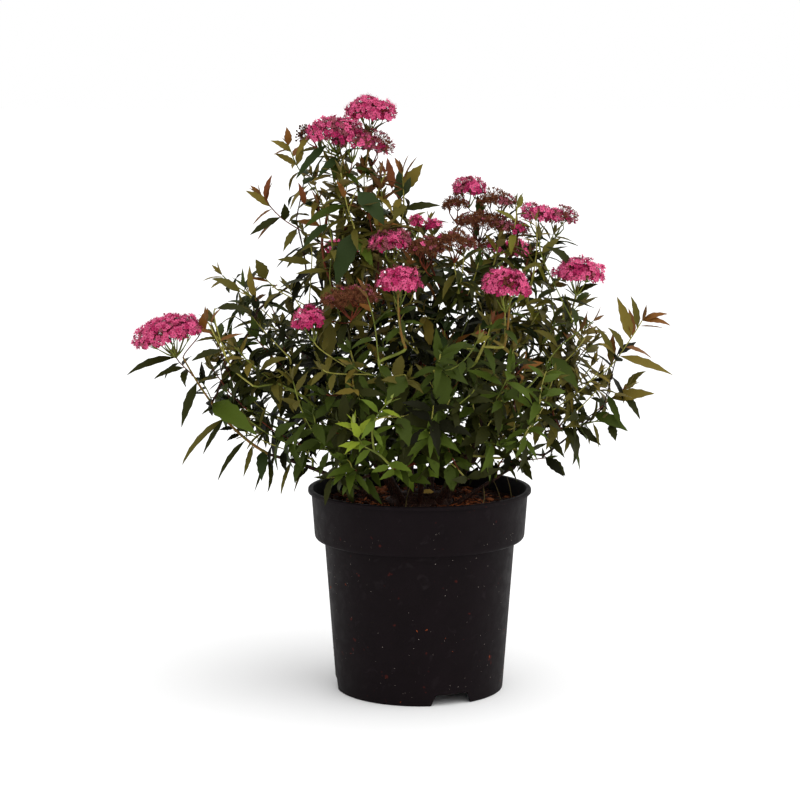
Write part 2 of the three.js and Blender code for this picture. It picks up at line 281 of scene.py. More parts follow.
def applied(piece, sharp_angle=None):
    """Turns a piece's modifiers into plain mesh, with edges over the sharp angle left sharp."""
    evaluated = piece.evaluated_get(bpy.context.evaluated_depsgraph_get())
    plain = bpy.data.meshes.new_from_object(evaluated)
    piece.modifiers.clear()
    piece.data = plain
    if sharp_angle:
        plain.set_sharp_from_angle(angle=math.radians(sharp_angle))
    return piece


def body_radius(z):
    """The outer radius of the pot's body at a height."""
    return foot_radius + (body_top - foot_radius) * z / (pot_height - collar_height)


collar_z = pot_height - collar_height
lip_z = pot_height - lip_height
# radius, height and rounding of each corner, from the pad up the outside and down the inside
pot_profile = rounded(
    [
        (0, 0, 0),
        (pad_radius, 0, 1.5),
        (pad_radius + pad_slope, floor_lift, 2),
        (body_radius(floor_lift) - 2 * pot_wall, floor_lift, 2),
        (foot_radius - 2 * pot_wall, 0, 0.6),
        (foot_radius, 0, 0.8),
        (body_top, collar_z, 0.6),
        (collar_foot, collar_z, 4.5),
        (collar_top, lip_z, 0.5),
        (lip_radius, lip_z, 0.5),
        (lip_radius, pot_height, 1.2),
        (collar_top - pot_wall, pot_height, 0.7),
        (collar_foot - pot_wall, collar_z + inner_step, 3),
        (body_top - pot_wall, collar_z + pot_wall, 1.5),
        (body_radius(floor_lift) - pot_wall, floor_lift + pot_wall, 2),
        (pad_radius + pad_slope, floor_lift + pot_wall, 2),
        (pad_radius, pot_wall, 1.5),
        (0, pot_wall, 0),
    ]
)

# Polypropylene with carbon black: satin, with a faint orange peel from the mould, dull
# scuffs from handling and small dark red splashes of wet peat.
pot_plastic = empty_material("moulded_polypropylene")
tree = pot_plastic.node_tree
place = add_node(tree, "ShaderNodeTexCoord").outputs["Object"]
grime = add_node(
    tree,
    "ShaderNodeTexNoise",
    {"Vector": place, "Scale": 1 / (grime_patch * MM), "Detail": 5.0, "Roughness": 0.65},
)
scuffs = add_node(
    tree,
    "ShaderNodeTexNoise",
    {"Vector": place, "Scale": 1 / (scuff_patch * MM), "Detail": 8.0, "Distortion": 0.6},
)
smears = add_node(
    tree, "ShaderNodeTexNoise", {"Vector": place, "Scale": 1 / (smear_patch * MM), "Detail": 2.0}
)
smear_share = add_node(
    tree, "ShaderNodeMapRange", {"Value": smears, "From Min": 0.7, "From Max": 0.75, "To Max": 0.8}
)
scuff_share = add_node(
    tree, "ShaderNodeMapRange", {"Value": scuffs, "From Min": 0.6, "From Max": 0.75, "To Max": 0.6}
)
black = add_node(
    tree, "ShaderNodeMix", {0: grime, 6: linear("#0b0708"), 7: linear("#150e11")}, {"data_type": "RGBA"}
)
smeared = add_node(
    tree,
    "ShaderNodeMix",
    {0: smear_share, 6: black.outputs[2], 7: linear("#3a1410")},
    {"data_type": "RGBA"},
)
scuffed = add_node(
    tree,
    "ShaderNodeMix",
    {0: scuff_share, 6: smeared.outputs[2], 7: linear("#211c1e")},
    {"data_type": "RGBA"},
)
dullness = add_node(
    tree,
    "ShaderNodeMapRange",
    {"Value": scuffs, "From Min": 0.3, "From Max": 0.8, "To Min": 0.50, "To Max": 0.70},
)
peel = add_node(
    tree, "ShaderNodeTexNoise", {"Vector": place, "Scale": 1 / (peel_grain * MM), "Detail": 2.0}
)
relief = add_node(tree, "ShaderNodeBump", {"Height": peel, "Strength": 0.22, "Distance": 0.0004})
shell = add_node(
    tree,
    "ShaderNodeBsdfPrincipled",
    {
        "Base Color": scuffed.outputs[2],
        "Roughness": dullness,
        "IOR": 1.49,
        "Specular IOR Level": 0.05,
        "Normal": relief,
    },
)
add_node(tree, "ShaderNodeOutputMaterial", {"Surface": shell})

pot = object_from(lathe(pot_profile, pot_sides), "pot_shell", pot_plastic)

cutters = bmesh.new()
outline = [
    (-drain_below / 2 - cutter_flare, -cutter_past),
    (-drain_below / 2, 0),
    (-drain_above / 2, drain_height),
    (drain_above / 2, drain_height),
    (drain_below / 2, 0),
    (drain_below / 2 + cutter_flare, -cutter_past),
]
near = foot_radius - drain_reach
far = foot_radius + cutter_past
for angle in drain_headings:
    turn = Matrix.Rotation(math.radians(angle), 4, "Z")
    inner = [cutters.verts.new(turn @ Vector((near, u, z)) * MM) for u, z in outline]
    outer = [cutters.verts.new(turn @ Vector((far, u, z)) * MM) for u, z in outline]
    cutters.faces.new(inner)
    cutters.faces.new(reversed(outer))
    for i in range(len(outline)):
        j = (i + 1) % len(outline)
        cutters.faces.new((inner[j], inner[i], outer[i], outer[j]))
for i in range(hole_count):
    middle = heading(360 * (i + 0.5) / hole_count, hole_circle, floor_lift) * MM
    bmesh.ops.create_cone(
        cutters,
        cap_ends=True,
        segments=hole_sides,
        radius1=hole_radius * MM,
        radius2=hole_radius * MM,
        depth=hole_cut * MM,
        matrix=Matrix.Translation(middle),
    )
bmesh.ops.recalc_face_normals(cutters, faces=cutters.faces)
drains = object_from(cutters, "drains")
cut = pot.modifiers.new("drains", "BOOLEAN")
cut.object = drains
cut.operation = "DIFFERENCE"
cut.solver = "EXACT"
applied(pot, sharp_angle=32)
bpy.data.objects.remove(drains)
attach(pot, "root")
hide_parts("pot")

# ---------------------------------------------------------------- grit and coir on the pot
# Splashes of wet compost have dried on the wall: pale grains of grit, and rusty shreds
# of coir. Each grain is a small chip that sits on the plastic.

full_turn = 6.3  # radians, near enough for a random spin
grit_kinds = 5  # shapes of grain
coir_kinds = 4
grit_count = 520
grit_size = (0.35, 1.1)  # mm across
grit_fineness = 1.3  # over one, most grains are small
body_band = (6, 148)  # the heights that grit lies between on the body, and on the collar
collar_band = (157, 192)
coir_size = (1.4, 3.6)
coir_count = 26
coir_arc = (-40, 220)  # degrees, on the sides and back
coir_band = (8, 145)
# heading in degrees and height of the shreds that stick out most
coir_places = ((-131, 128), (-92, 76), (-86, 77), (-74, 68), (-69, 54), (-113, 27), (-103, 4), (-38, 42))


def grown(name, points, edges, attributes, tree, values):
    """A plain mesh that a tree grows on points and edges. Each attribute has a type and values."""
    mesh = bpy.data.meshes.new(name)
    mesh.from_pydata([tuple(p) for p in points], edges, [])
    for key, (kind, rows) in attributes.items():
        field = "vector" if kind == "FLOAT_VECTOR" else "value"
        rows = np.array(rows, np.int32 if kind == "INT" else np.float32)
        mesh.attributes.new(key, kind, "POINT").data.foreach_set(field, rows.ravel())
    made = placed(name, mesh)
    growth = made.modifiers.new("growth", "NODES")
    growth.node_group = tree
    for socket in tree.interface.items_tree:
        if socket.name in values:
            growth[socket.identifier] = values[socket.name]
    return applied(made)


def set_out(name, tree, places, turns, sizes, picks, shapes, materials):
    """Stands a shape on each place, turned and sized for it, as one plain mesh."""
    attributes = {"turn": ("QUATERNION", turns), "size": ("FLOAT_VECTOR", sizes), "pick": ("INT", picks)}
    values = {"Shapes": shapes, "Material": materials[0], "Underside": materials[-1]}
    return grown(name, places, [], attributes, tree, values)


def new_tree(name, **sockets):
    """A tree of geometry nodes with these inputs, and the outputs that give them."""
    tree = bpy.data.node_groups.new(name, "GeometryNodeTree")
    for socket, kind in sockets.items():
        tree.interface.new_socket(socket, in_out="INPUT", socket_type="NodeSocket" + kind)
    tree.interface.new_socket("Pieces", in_out="OUTPUT", socket_type="NodeSocketGeometry")
    return tree, tree.nodes.new("NodeGroupInput").outputs


def setting_out_tree():
    """Places to instances of the picked shape, realized, with a material for each side."""
    tree, given = new_tree(
        "setting_out", Places="Geometry", Shapes="Collection", Material="Material", Underside="Material"
    )
    read = "GeometryNodeInputNamedAttribute"
    turn = add_node(tree, read, {"Name": "turn"}, {"data_type": "QUATERNION"})
    size = add_node(tree, read, {"Name": "size"}, {"data_type": "FLOAT_VECTOR"})
    pick = add_node(tree, read, {"Name": "pick"}, {"data_type": "INT"})
    under = add_node(tree, read, {"Name": "underside"}, {"data_type": "BOOLEAN"})
    shapes = add_node(
        tree,
        "GeometryNodeCollectionInfo",
        {"Collection": given["Shapes"], "Separate Children": True, "Reset Children": True},
    )
    stood = add_node(
        tree,
        "GeometryNodeInstanceOnPoints",
        {
            "Points": given["Places"],
            "Instance": shapes,
            "Pick Instance": True,
            "Instance Index": pick,
            "Rotation": turn,
            "Scale": size,
        },
    )
    plain = add_node(tree, "GeometryNodeRealizeInstances", {"Geometry": stood})
    first = add_node(tree, "GeometryNodeSetMaterial", {"Geometry": plain, "Material": given["Material"]})
    second = add_node(
        tree,
        "GeometryNodeSetMaterial",
        {"Geometry": first, "Selection": under, "Material": given["Underside"]},
    )
    add_node(tree, "NodeGroupOutput", {"Pieces": second})
    return tree


def shape_set(name, makers):
    """A collection of small shapes to set out, kept off the scene."""
    shapes = bpy.data.collections.new(name)
    for i, (points, faces) in enumerate(makers):
        data = bpy.data.meshes.new(f"{name}_{i:02d}")
        data.from_pydata([tuple(p) for p in points], [], faces)
        shapes.objects.link(bpy.data.objects.new(f"{name}_{i:02d}", data))
    return shapes


def chip(rng, width, depth):
    """A jagged closed chip, about one unit long, as a squashed and shaken icosphere."""
    ball = bmesh.new()
    bmesh.ops.create_icosphere(ball, subdivisions=1, radius=0.5)
    stretch = Vector((1, width, depth))
    points = [v.co * rng.uniform(0.7, 1.15) * stretch for v in ball.verts]
    faces = [[v.index for v in f.verts] for f in ball.faces]
    ball.free()
    return points, faces


def mottled(name, dark, light, grain, roughness, specular=0.08, detail=4.0, band=0.15, relief=0.6):
    """A matt skin, mottled between two colours and uneven, both on a grain given in mm."""
    material = empty_material(name)
    tree = material.node_tree
    place = add_node(tree, "ShaderNodeTexCoord").outputs["Object"]
    noise_inputs = {"Vector": place, "Scale": 1 / (grain * MM), "Detail": detail}
    mottle = add_node(tree, "ShaderNodeTexNoise", noise_inputs)
    band_inputs = {"Value": mottle, "From Min": 0.5 - band, "From Max": 0.5 + band}
    share = add_node(tree, "ShaderNodeMapRange", band_inputs)
    colours = {0: share, 6: linear(dark), 7: linear(light)}
    colour = add_node(tree, "ShaderNodeMix", colours, {"data_type": "RGBA"})
    relief_inputs = {"Height": mottle, "Strength": relief, "Distance": 0.0006}
    bumps = add_node(tree, "ShaderNodeBump", relief_inputs)
    skin = add_node(
        tree,
        "ShaderNodeBsdfPrincipled",
        {
            "Base Color": colour.outputs[2],
            "Roughness": roughness,
            "Specular IOR Level": specular,
            "Normal": bumps,
        },
    )
    add_node(tree, "ShaderNodeOutputMaterial", {"Surface": skin})
    return material


def facing(direction, spin):
    """The turn that lays +Z along a direction and spins the shape round it."""
    return direction.to_track_quat("Z", "Y") @ Matrix.Rotation(spin, 3, "Z").to_quaternion()


def on_wall(angle, height):
    """A place on the pot's outer wall and the way that the wall faces there."""
    if height < collar_z:
        radius, fall = body_radius(height), (body_top - foot_radius) / collar_z
    else:
        radius = collar_foot + (collar_top - collar_foot) * (height - collar_z) / collar_height
        fall = (collar_top - collar_foot) / collar_height
    return heading(angle, radius, height) * MM, (heading(angle, 1, 0) - Vector((0, 0, fall))).normalized()


def chip_set(name, rng, count, widths, heights):
    """A set of chips. Their widths and heights are drawn from two ranges."""
    shapes = [chip(rng, rng.uniform(*widths), rng.uniform(*heights)) for _ in range(count)]
    return shape_set(name, shapes)


setting_out = setting_out_tree()
rng = random.Random(11)
chips = chip_set("chips", rng, grit_kinds, (0.5, 0.9), (0.3, 0.5))
shreds = chip_set("shreds", rng, coir_kinds, (0.2, 0.4), (0.15, 0.25))

# Silver sand and lime grit: dull, pale and dusty, so they show as fine light specks.
grit = mottled("dried_grit", "#6f6660", "#a89e94", 0.6, 0.9)
# Coir: rusty brown coconut fibre, matt.
coir = mottled("coir_shred", "#5a2412", "#9a4a22", 0.9, 0.9)

rows = []
for _ in range(grit_count):
    angle = rng.uniform(0, 360)
    spot, out = on_wall(angle, rng.choice((rng.uniform(*body_band), rng.uniform(*collar_band))))
    size = rng.uniform(*grit_size) ** grit_fineness * MM
    rows.append((spot, facing(out, rng.uniform(0, full_turn)), (size,) * 3, rng.randrange(grit_kinds)))
grains = set_out("pot_grit", setting_out, *zip(*rows), chips, (grit,))
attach(grains, "root")

rows = []
strays = [(rng.uniform(*coir_arc), rng.uniform(*coir_band)) for _ in range(coir_count)]
for angle, height in list(coir_places) + strays:
    spot, out = on_wall(angle, height)
    size = rng.uniform(*coir_size) * MM
    rows.append((spot, facing(out, rng.uniform(0, full_turn)), (size,) * 3, rng.randrange(coir_kinds)))
fibres = set_out("pot_coir", setting_out, *zip(*rows), shreds, (coir,))
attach(fibres, "root")

# ---------------------------------------------------------------- compost
# Peat and composted bark fill the pot to just below the lip. The bed is one body with a
# crumbled top, and loose flakes and shreds of bark lie on it where watering left them.

compost_top = 184.0  # mm, as are the sizes below
level_radius = 46.0  # the bed is level round the stems
level_band = 20.0  # over which it gets rough
level_share = 0.25  # how rough the level part is, against the rest
level_lift = 0.6
compost_gap = 0.8  # clear of the pot's wall
litter_reach = 101.0  # bark lies and the bed is rough as far out as this
edge_band = 8.0  # over which the bed gets smooth at its edge
bed_rings = 46
bed_sides = 160
wave_size = 22.0
wave_height = 2.6
crumb_spacing = 4.0
crumb_height = 0.8
bark_count = 520
crumb_count = 1500
bark_size = (4.0, 17.0)
crumb_size = (1.2, 3.6)
bark_kinds = 8  # shapes of flake, and as many of shred
bark_mix = (5, 4, 2)  # parts of dark, brown and rusty bark
bark_tilt = 0.35
# distance from the axis, heading in degrees and length of the largest rusty flakes
loose_flakes = ((72, 122, 15), (80, 116, 11), (66, 130, 12), (64, 58, 15), (74, 52, 13), (90, 96, 12))
flake_lift = 0.4  # above the bed
loose_lift = 1.5
loose_tilt = 0.25
shred_size = (6.0, 15.0)
shred_lift = (0.5, 2.5)
shred_tilt = 0.3
shred_ring = (34, 92)  # distances from the axis that shreds lie between
# middle, spread across and spread in depth of the heaps of shreds, and how many lie there
shred_heaps = ((-44, 2, 9, 14, 70), (44, -6, 9, 12, 60), (0, 0, 42, 42, 120))


def crumbled(point):
    """Breaks up the top of the bed away from the stems, in mm."""
    if point.z < compost_top - 1:
        return point
    radius = point.xy.length
    out = min(1, max(0, (radius - level_radius) / level_band))
    edge = min(1, max(0, (litter_reach - radius) / edge_band))
    wave = noise.fractal(point / wave_size, 0.6, 2.1, 5) * wave_height
    fine = noise.noise(point / crumb_spacing) * crumb_height
    rough = level_share + (1 - level_share) * out
    return point + Vector((0, 0, (wave + fine) * rough * edge + level_lift * (1 - out)))


inner = collar_top - pot_wall - compost_gap
wall_foot = pot_wall + compost_gap
bed_edge = inner - (pot_height - compost_top) * (collar_top - collar_foot) / collar_height
bed_profile = [
    Vector((0, wall_foot)),
    Vector((pad_radius, wall_foot)),
    Vector((pad_radius + pad_slope, floor_lift + wall_foot)),
    Vector((body_radius(floor_lift) - wall_foot - 1, floor_lift + wall_foot)),
    Vector((body_top - wall_foot, collar_z + wall_foot)),
    Vector((collar_foot - wall_foot - 4, collar_z + wall_foot)),
    Vector((collar_foot - wall_foot, collar_z + 9)),
]
for k in range(bed_rings + 1):
    bed_profile.append(Vector((bed_edge * (1 - k / bed_rings), compost_top)))

# Wet peat: nearly black red-brown crumbs with dull fibres through them.
peat = mottled("wet_peat", "#140b08", "#3a2015", 3.0, 0.95)
# Composted conifer bark: split flakes, red-brown to rusty, paler where they have dried.
barks = {
    "dark_bark": mottled("dark_bark", "#1c0f0a", "#3d2116", 4.0, 0.9),
    "brown_bark": mottled("brown_bark", "#3a1d12", "#64371f", 4.0, 0.85),
    "rusty_bark": mottled("rusty_bark", "#5e2f18", "#99582f", 4.0, 0.85),
}

bed = object_from(lathe(bed_profile, bed_sides, crumbled), "compost_bed", peat)
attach(bed, "root")
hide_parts("compost")


def on_bed(radius, angle, lift):
    """A place just above the top of the compost."""
    return (crumbled(heading(angle, radius, compost_top)) + Vector((0, 0, lift))) * MM


def tilted(rng, amount):
    """A direction that is near straight up."""
    return Vector((rng.gauss(0, amount), rng.gauss(0, amount), 1)).normalized()


rng = random.Random(23)
flakes = chip_set("flakes", rng, bark_kinds, (0.35, 0.7), (0.12, 0.3))
loose = {name: [] for name in barks}
for k in range(bark_count + crumb_count):
    low, high = bark_size if k < bark_count else crumb_size
    radius = litter_reach * math.sqrt(rng.uniform(0.02, 1))
    size = (low + (high - low) * rng.random() ** 2) * MM
    tilt = tilted(rng, bark_tilt)
    spot = on_bed(min(radius, litter_reach - size / MM / 2), rng.uniform(0, 360), flake_lift)
    kind = rng.choices(list(barks), bark_mix)[0]
    turn = facing(tilt, rng.uniform(0, full_turn))
    loose[kind].append((spot, turn, (size,) * 3, rng.randrange(bark_kinds)))
for radius, angle, size in loose_flakes:
    turn = facing(tilted(rng, loose_tilt), rng.uniform(0, full_turn))
    place = on_bed(radius, angle, loose_lift)
    loose["rusty_bark"].append((place, turn, (size * MM,) * 3, rng.randrange(bark_kinds)))
for name, rows in loose.items():
    mulch = set_out(name + "_chips", setting_out, *zip(*rows), flakes, (barks[name],))
    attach(mulch, "root")

# Long rusty shreds of bark lie in heaps on the bed and lean on each other.
fibre = mottled("bark_fibre", "#70351d", "#b4683a", 3.0, 0.85)
shreds = chip_set("shreds", rng, bark_kinds, (0.1, 0.18), (0.05, 0.09))
rows = []
for x, y, across, deep, count in shred_heaps:
    for _ in range(count):
        spot = Vector((rng.gauss(x, across), rng.gauss(y, deep), compost_top))
        if shred_ring[0] < spot.xy.length < shred_ring[1]:
            tilt = tilted(rng, shred_tilt)
            size = rng.uniform(*shred_size) * MM
            place = (crumbled(spot) + Vector((0, 0, rng.uniform(*shred_lift)))) * MM
            turn = facing(tilt, rng.uniform(0, full_turn))
            rows.append((place, turn, (size,) * 3, rng.randrange(bark_kinds)))
heaps = set_out("bark_shreds", setting_out, *zip(*rows), shreds, (fibre,))
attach(heaps, "root")

# ---------------------------------------------------------------- stems and woody base
# Several young stems rise from one knobbly base, and one long stem arches out over the
# lip on the left. Each is a tapering limb with thin ridged bark and swollen leaf nodes.

# foot (heading in degrees, distance from the axis), elbow, tip and foot radius, in mm
stems = {
    "stem_front_left": ((235, 24), (-28, -38, 216), (-54, -76, 262), 3.1),
    "stem_front": ((268, 26), (2, -40, 212), (6, -84, 258), 2.8),
    "stem_front_right": ((310, 25), (30, -34, 216), (58, -70, 262), 3.3),
    "stem_right": ((352, 25), (40, -4, 220), (92, -2, 270), 3.4),
    "stem_back_right": ((38, 26), (34, 28, 216), (64, 64, 262), 3.0),
    "stem_back": ((85, 25), (0, 44, 214), (-2, 84, 262), 3.1),
    "stem_back_left": ((132, 26), (-34, 34, 214), (-62, 64, 258), 2.9),
    "stem_left": ((168, 22), (-36, 6, 222), (-86, -12, 268), 3.4),
    "leader_left": ((200, 9), (-8, -2, 232), (-14, -2, 276), 3.9),
    "leader_right": ((20, 10), (12, 6, 232), (20, 8, 276), 3.7),
    "stem_low_right": ((334, 37), (64, -20, 206), (112, 4, 232), 2.1),
}
arch_foot = (196, 36)
arch_elbow = (-86, -21, 220)
arch_bend = (-146, -28, 237)
arch_upper_elbow = (-192, -34, 262)
arch_tip = (-228, -40, 334)
arch_thick = 2.8
arch_bend_share = 0.55  # how thick it still is at the bend
shoots = {
    "shoot_top_left": ((-70, -10, 504), (-74, -12, 520), (-82, -12, 548)),
    "shoot_top_right": ((-54, -6, 508), (-50, -4, 528), (-46, 0, 554)),
    "shoot_front_left": ((-14, -118, 352), (-22, -128, 372), (-21, -126, 404)),
    "shoot_front_right": ((78, -104, 352), (82, -112, 372), (83, -108, 402)),
    "shoot_right": ((136, -10, 350), (148, -16, 368), (154, -19, 410)),
    "shoot_right_top": ((94, 12, 436), (97, 16, 450), (94, 22, 476)),
}
shoot_thick = 1.3
tip_share = 0.5  # a limb's tip radius, as a share of its foot radius
flare_share = 0.5
flare_length = 9.0
ring_step = 1.7  # mm between the rings of a limb's mesh
stem_sides = 18
stem_ridge = 0.22  # mm that the bark's ridges stand proud, less on a limb thinner than full_ridge
full_ridge = 3.0
grain_length = 11.0  # mm along the limb
twist_length = 17.0
lump_length = 6.0
lump_share = 0.5  # of a ridge
node_step = 15.0  # mm between the swollen leaf nodes
node_swell = 0.16  # of the limb's radius
node_width = 2.5
streak_draw = 0.22  # the scale of the bark's streaks upwards, as a share of that across
pore_size = 2.08  # mm, drawn twice as coarse as it is, so that it shows
base_radius = 33.0
base_height = 11.0
base_rings = 22
base_sides = 96
base_roundness = 0.8  # under one, its shoulder is squarer than a ball's
knob_size = 9.0
knob_reach = 2.2
knob_lift = 1.4


def bezier(foot, elbow, tip, steps=28):
    """Points of a bow from foot to tip that leans on the elbow."""
    foot, elbow, tip = Vector(foot), Vector(elbow), Vector(tip)
    ts = [i / steps for i in range(steps + 1)]
    return [foot.lerp(elbow, t).lerp(elbow.lerp(tip, t), t) for t in ts]


def lengths(path):
    """How far along the path each of its points lies."""
    walked = [0.0]
    for a, b in zip(path, path[1:]):
        walked.append(walked[-1] + (b - a).length)
    return walked


def along(path, distance):
    """The point and the direction of a path at a distance from its foot."""
    walked = lengths(path)
    i = min(max(int(np.searchsorted(walked, distance)) - 1, 0), len(path) - 2)
    step = path[i + 1] - path[i]
    share = (distance - walked[i]) / max(step.length, 1e-9)
    return path[i].lerp(path[i + 1], min(max(share, 0), 1)), step.normalized()


def bark_relief(out, angle, s, seed):
    """How far the bark stands proud at a place on a limb, in ridges."""
    grain = noise.fractal(out * 2.2 + Vector((seed, s / grain_length, s / twist_length)), 0.5, 2.3, 4)
    return grain + noise.noise(Vector((seed, s / lump_length, angle))) * lump_share


def bark_rings(path, radius_at, sides, ridge, seed, count):
    """The points round a limb in mm, ring by ring from its foot."""
    total = lengths(path)[-1]
    points = []
    side = along(path, 0)[1].orthogonal().normalized()
    for k in range(count + 1):
        s = total * k / count
        middle, ahead = along(path, s)
        side = (side - ahead * side.dot(ahead)).normalized()
        across = ahead.cross(side)
        swell = math.exp(-(((s % node_step) - node_step / 2) ** 2) / node_width) * node_swell
        for i in range(sides):
            a = 2 * math.pi * i / sides
            out = side * math.cos(a) + across * math.sin(a)
            reach = radius_at(s) * (1 + swell) + ridge * bark_relief(out, a, s, seed)
            points.append(middle + out * max(reach, 0.15))
    return points


def bark_tube(path, radius_at, sides, ridge, seed):
    """Points and faces of a closed limb in mm. radius_at takes the distance from its foot."""
    count = max(4, round(lengths(path)[-1] / ring_step))
    points = bark_rings(path, radius_at, sides, ridge, seed, count)
    foot, tip, top = len(points), len(points) + 1, count * sides
    points += [path[0], path[-1]]
    faces = []
    for i in range(sides):
        j = (i + 1) % sides
        faces += [(low + i, low + j, low + sides + j, low + sides + i) for low in range(0, top, sides)]
        faces += [(foot, j, i), (tip, top + i, top + j)]
    return points, faces


def bark_material(name, dark, light, fleck, streak):
    """Young bark: two tones in streaks along the limb, and small raised pores."""
    material = empty_material(name)
    tree = material.node_tree
    place = add_node(tree, "ShaderNodeTexCoord").outputs["Object"]
    drawn = add_node(tree, "ShaderNodeMapping", {"Vector": place, "Scale": (1, 1, streak_draw)})
    streaks = add_node(
        tree, "ShaderNodeTexNoise", {"Vector": drawn, "Scale": 1 / (streak * MM), "Detail": 6.0}
    )
    pores = add_node(tree, "ShaderNodeTexVoronoi", {"Vector": place, "Scale": 1 / (pore_size * MM)})
    share = add_node(tree, "ShaderNodeMapRange", {"Value": streaks, "From Min": 0.34, "From Max": 0.66})
    pore_share = add_node(
        tree, "ShaderNodeMapRange", {"Value": pores, "From Min": 0.24, "From Max": 0.12, "To Max": 0.8}
    )
    tone = add_node(
        tree, "ShaderNodeMix", {0: share, 6: linear(dark), 7: linear(light)}, {"data_type": "RGBA"}
    )
    colour = add_node(
        tree, "ShaderNodeMix", {0: pore_share, 6: tone.outputs[2], 7: linear(fleck)}, {"data_type": "RGBA"}
    )
    relief = add_node(tree, "ShaderNodeBump", {"Height": streaks, "Strength": 0.5, "Distance": 0.0005})
    skin = add_node(
        tree,
        "ShaderNodeBsdfPrincipled",
        {"Base Color": colour.outputs[2], "Roughness": 0.62, "Specular IOR Level": 0.15, "Normal": relief},
    )
    add_node(tree, "ShaderNodeOutputMaterial", {"Surface": skin})
    return material


# Two-year-old spirea wood: thin red-brown bark that splits into grey-brown strips. Its two tones are darker
# than such bark, as painted shade for the stems under the crown.
old_bark = bark_material("red_brown_bark", "#1a0e0a", "#40261c", "#6c5846", 1.6)
# This year's wood: smooth, yellow-green on the shaded side and flushed red in the sun.
young_bark = bark_material("flushed_green_bark", "#68642a", "#7a4c22", "#9c9252", 2.4)

limbs = []  # every limb of the plant: its path in mm, its radius at each point, its parent


def add_limb(path, radii, parent=None, joint=0, kind="stem"):
    """Notes a limb, so that later ones can grow from it."""
    limbs.append({"path": path, "radii": radii, "parent": parent, "joint": joint, "kind": kind})
    return len(limbs) - 1


def tapered(thick, flare, total):
    """A limb's radius at a distance from its foot."""
    return lambda s: thick * (1 - (1 - tip_share) * s / total) + flare * math.exp(-s / flare_length)


def stem_piece(node, path, thick, flare, seed, bark):
    """The meshed limb that stands for a CAD limb."""
    radius_at = tapered(thick, flare, lengths(path)[-1])
    ridge = stem_ridge * min(1, thick / full_ridge)
    points, faces = bark_tube(path, radius_at, stem_sides, ridge, seed)
    piece = mesh_object("bark_" + node, [p * MM for p in points], faces, bark)
    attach(piece, "root")
    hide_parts(node)
    return [radius_at(s) for s in lengths(path)]


foot_height = compost_top + 0.4
for seed, (node, (foot, elbow, tip, thick)) in enumerate(stems.items()):
    path = bezier(heading(*foot, foot_height), elbow, tip)
    radii = stem_piece(node, path, thick, thick * flare_share, seed, old_bark)
    add_limb(path, radii)
arch_lower = bezier(heading(*arch_foot, foot_height), arch_elbow, arch_bend)
arch_upper = bezier(arch_bend, arch_upper_elbow, arch_tip)
radii = stem_piece("arching_stem_lower", arch_lower, arch_thick, arch_thick * flare_share, 31, old_bark)
add_limb(arch_lower, radii)
radii = stem_piece("arching_stem_upper", arch_upper, arch_thick * arch_bend_share, 0, 32, young_bark)
add_limb(arch_upper, radii)
for seed, (node, corners) in enumerate(shoots.items(), 40):
    shoots[node] = bezier(*corners, steps=10)
    stem_piece(node, shoots[node], shoot_thick, 0, seed, young_bark)


def knobbly(point):
    """Swells the woody base into knobs and ridges, in mm."""
    if point.z <= foot_height:
        return Vector((point.x, point.y, foot_height))
    lump = noise.fractal(point / knob_size, 0.6, 2.2, 5)
    out = point.xy.normalized().to_3d() if point.xy.length > 0.01 else Vector((0, 0, 0))
    return point + out * lump * knob_reach + Vector((0, 0, lump * knob_lift))


base_profile = [Vector((0, foot_height - 1)), Vector((base_radius, foot_height - 1))]
for k in range(base_rings):
    a = math.radians(90 * k / base_rings)
    radius = base_radius * math.cos(a) ** base_roundness
    base_profile.append(Vector((radius, foot_height + base_height * math.sin(a))))
base_profile.append(Vector((0, foot_height + base_height)))
woody_base = object_from(lathe(base_profile, base_sides, knobbly), "bark_stem_base", old_bark)
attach(woody_base, "root")
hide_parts("stem_base")

# ---------------------------------------------------------------- boughs and shoots
# Boughs grow on from the stems to the middle of each mass of the crown, and leafy shoots
# fork off them. A new limb leaves the nearest older one that points its way.

foliage_nodes = sorted(n for n in frame["nodes"] if n.startswith(("crown_", "upper_", "skirt_", "spray_")))
blossom_nodes = sorted(n for n in frame["nodes"] if n.startswith("blossom_"))
crown_heart = Vector((0, 0, 250))  # mm, as are the sizes below
limb_step = 6.0  # between the points of a grown limb
twig_radius = 0.6
limb_pull = 0.5  # how much a limb keeps its heading at both ends
start_mix = (0.55, 0.75, 0.12)  # a limb sets out this much along its parent, to its goal and upwards
turn_cost = 0.75  # what makes an older limb a worse one to fork from: a turn,
fall_cost = 1.2  # a way down
short_cost = 9  # and each mm that it is too near
shoot_top = 0.6  # shoots fork only this far up, as a share of their length
pipe_power = 2.4  # how fast limbs thicken below each fork
bough_lift = 0.7  # how much boughs and shoots turn up as they grow outwards
low_lift = 0.1  # and shoots whose tips are lower than low_height
low_height = 260
shoot_spacing = {"crown_": 24.0, "skirt_": 22.0, "upper_": 22.0, "spray_": 26.0}  # between shoot tips
sparse_spacing = 36.0  # in the open sprays at the crown's edge
leaf_snap = 9.0  # a lone leaf sits on a limb that is this close
skin_depth = 9.0  # shoots end this far inside a mass, and their leaves fill the rest
tip_tries = 900  # in each mass
tip_least = 30.0  # a shoot is at least this long
leaf_gap = 5.8  # between the leaves along a shoot
flush_patch = 14.3  # across the redder patches of a stalk
leaf_numbers = (7, 18)  # the fewest and the most on one
leaf_lengths = (25, 36)
bough_leaf_lengths = (26, 34)
stalk_leaf_gap = 9
bough_leaf_gap = 11
stalk_bare = 0.2  # the share at the foot that bears no leaves
shoot_bare = 0.12
bough_bare = 0.35
green_height = 310  # below this the young leaves are green, and above it bronze
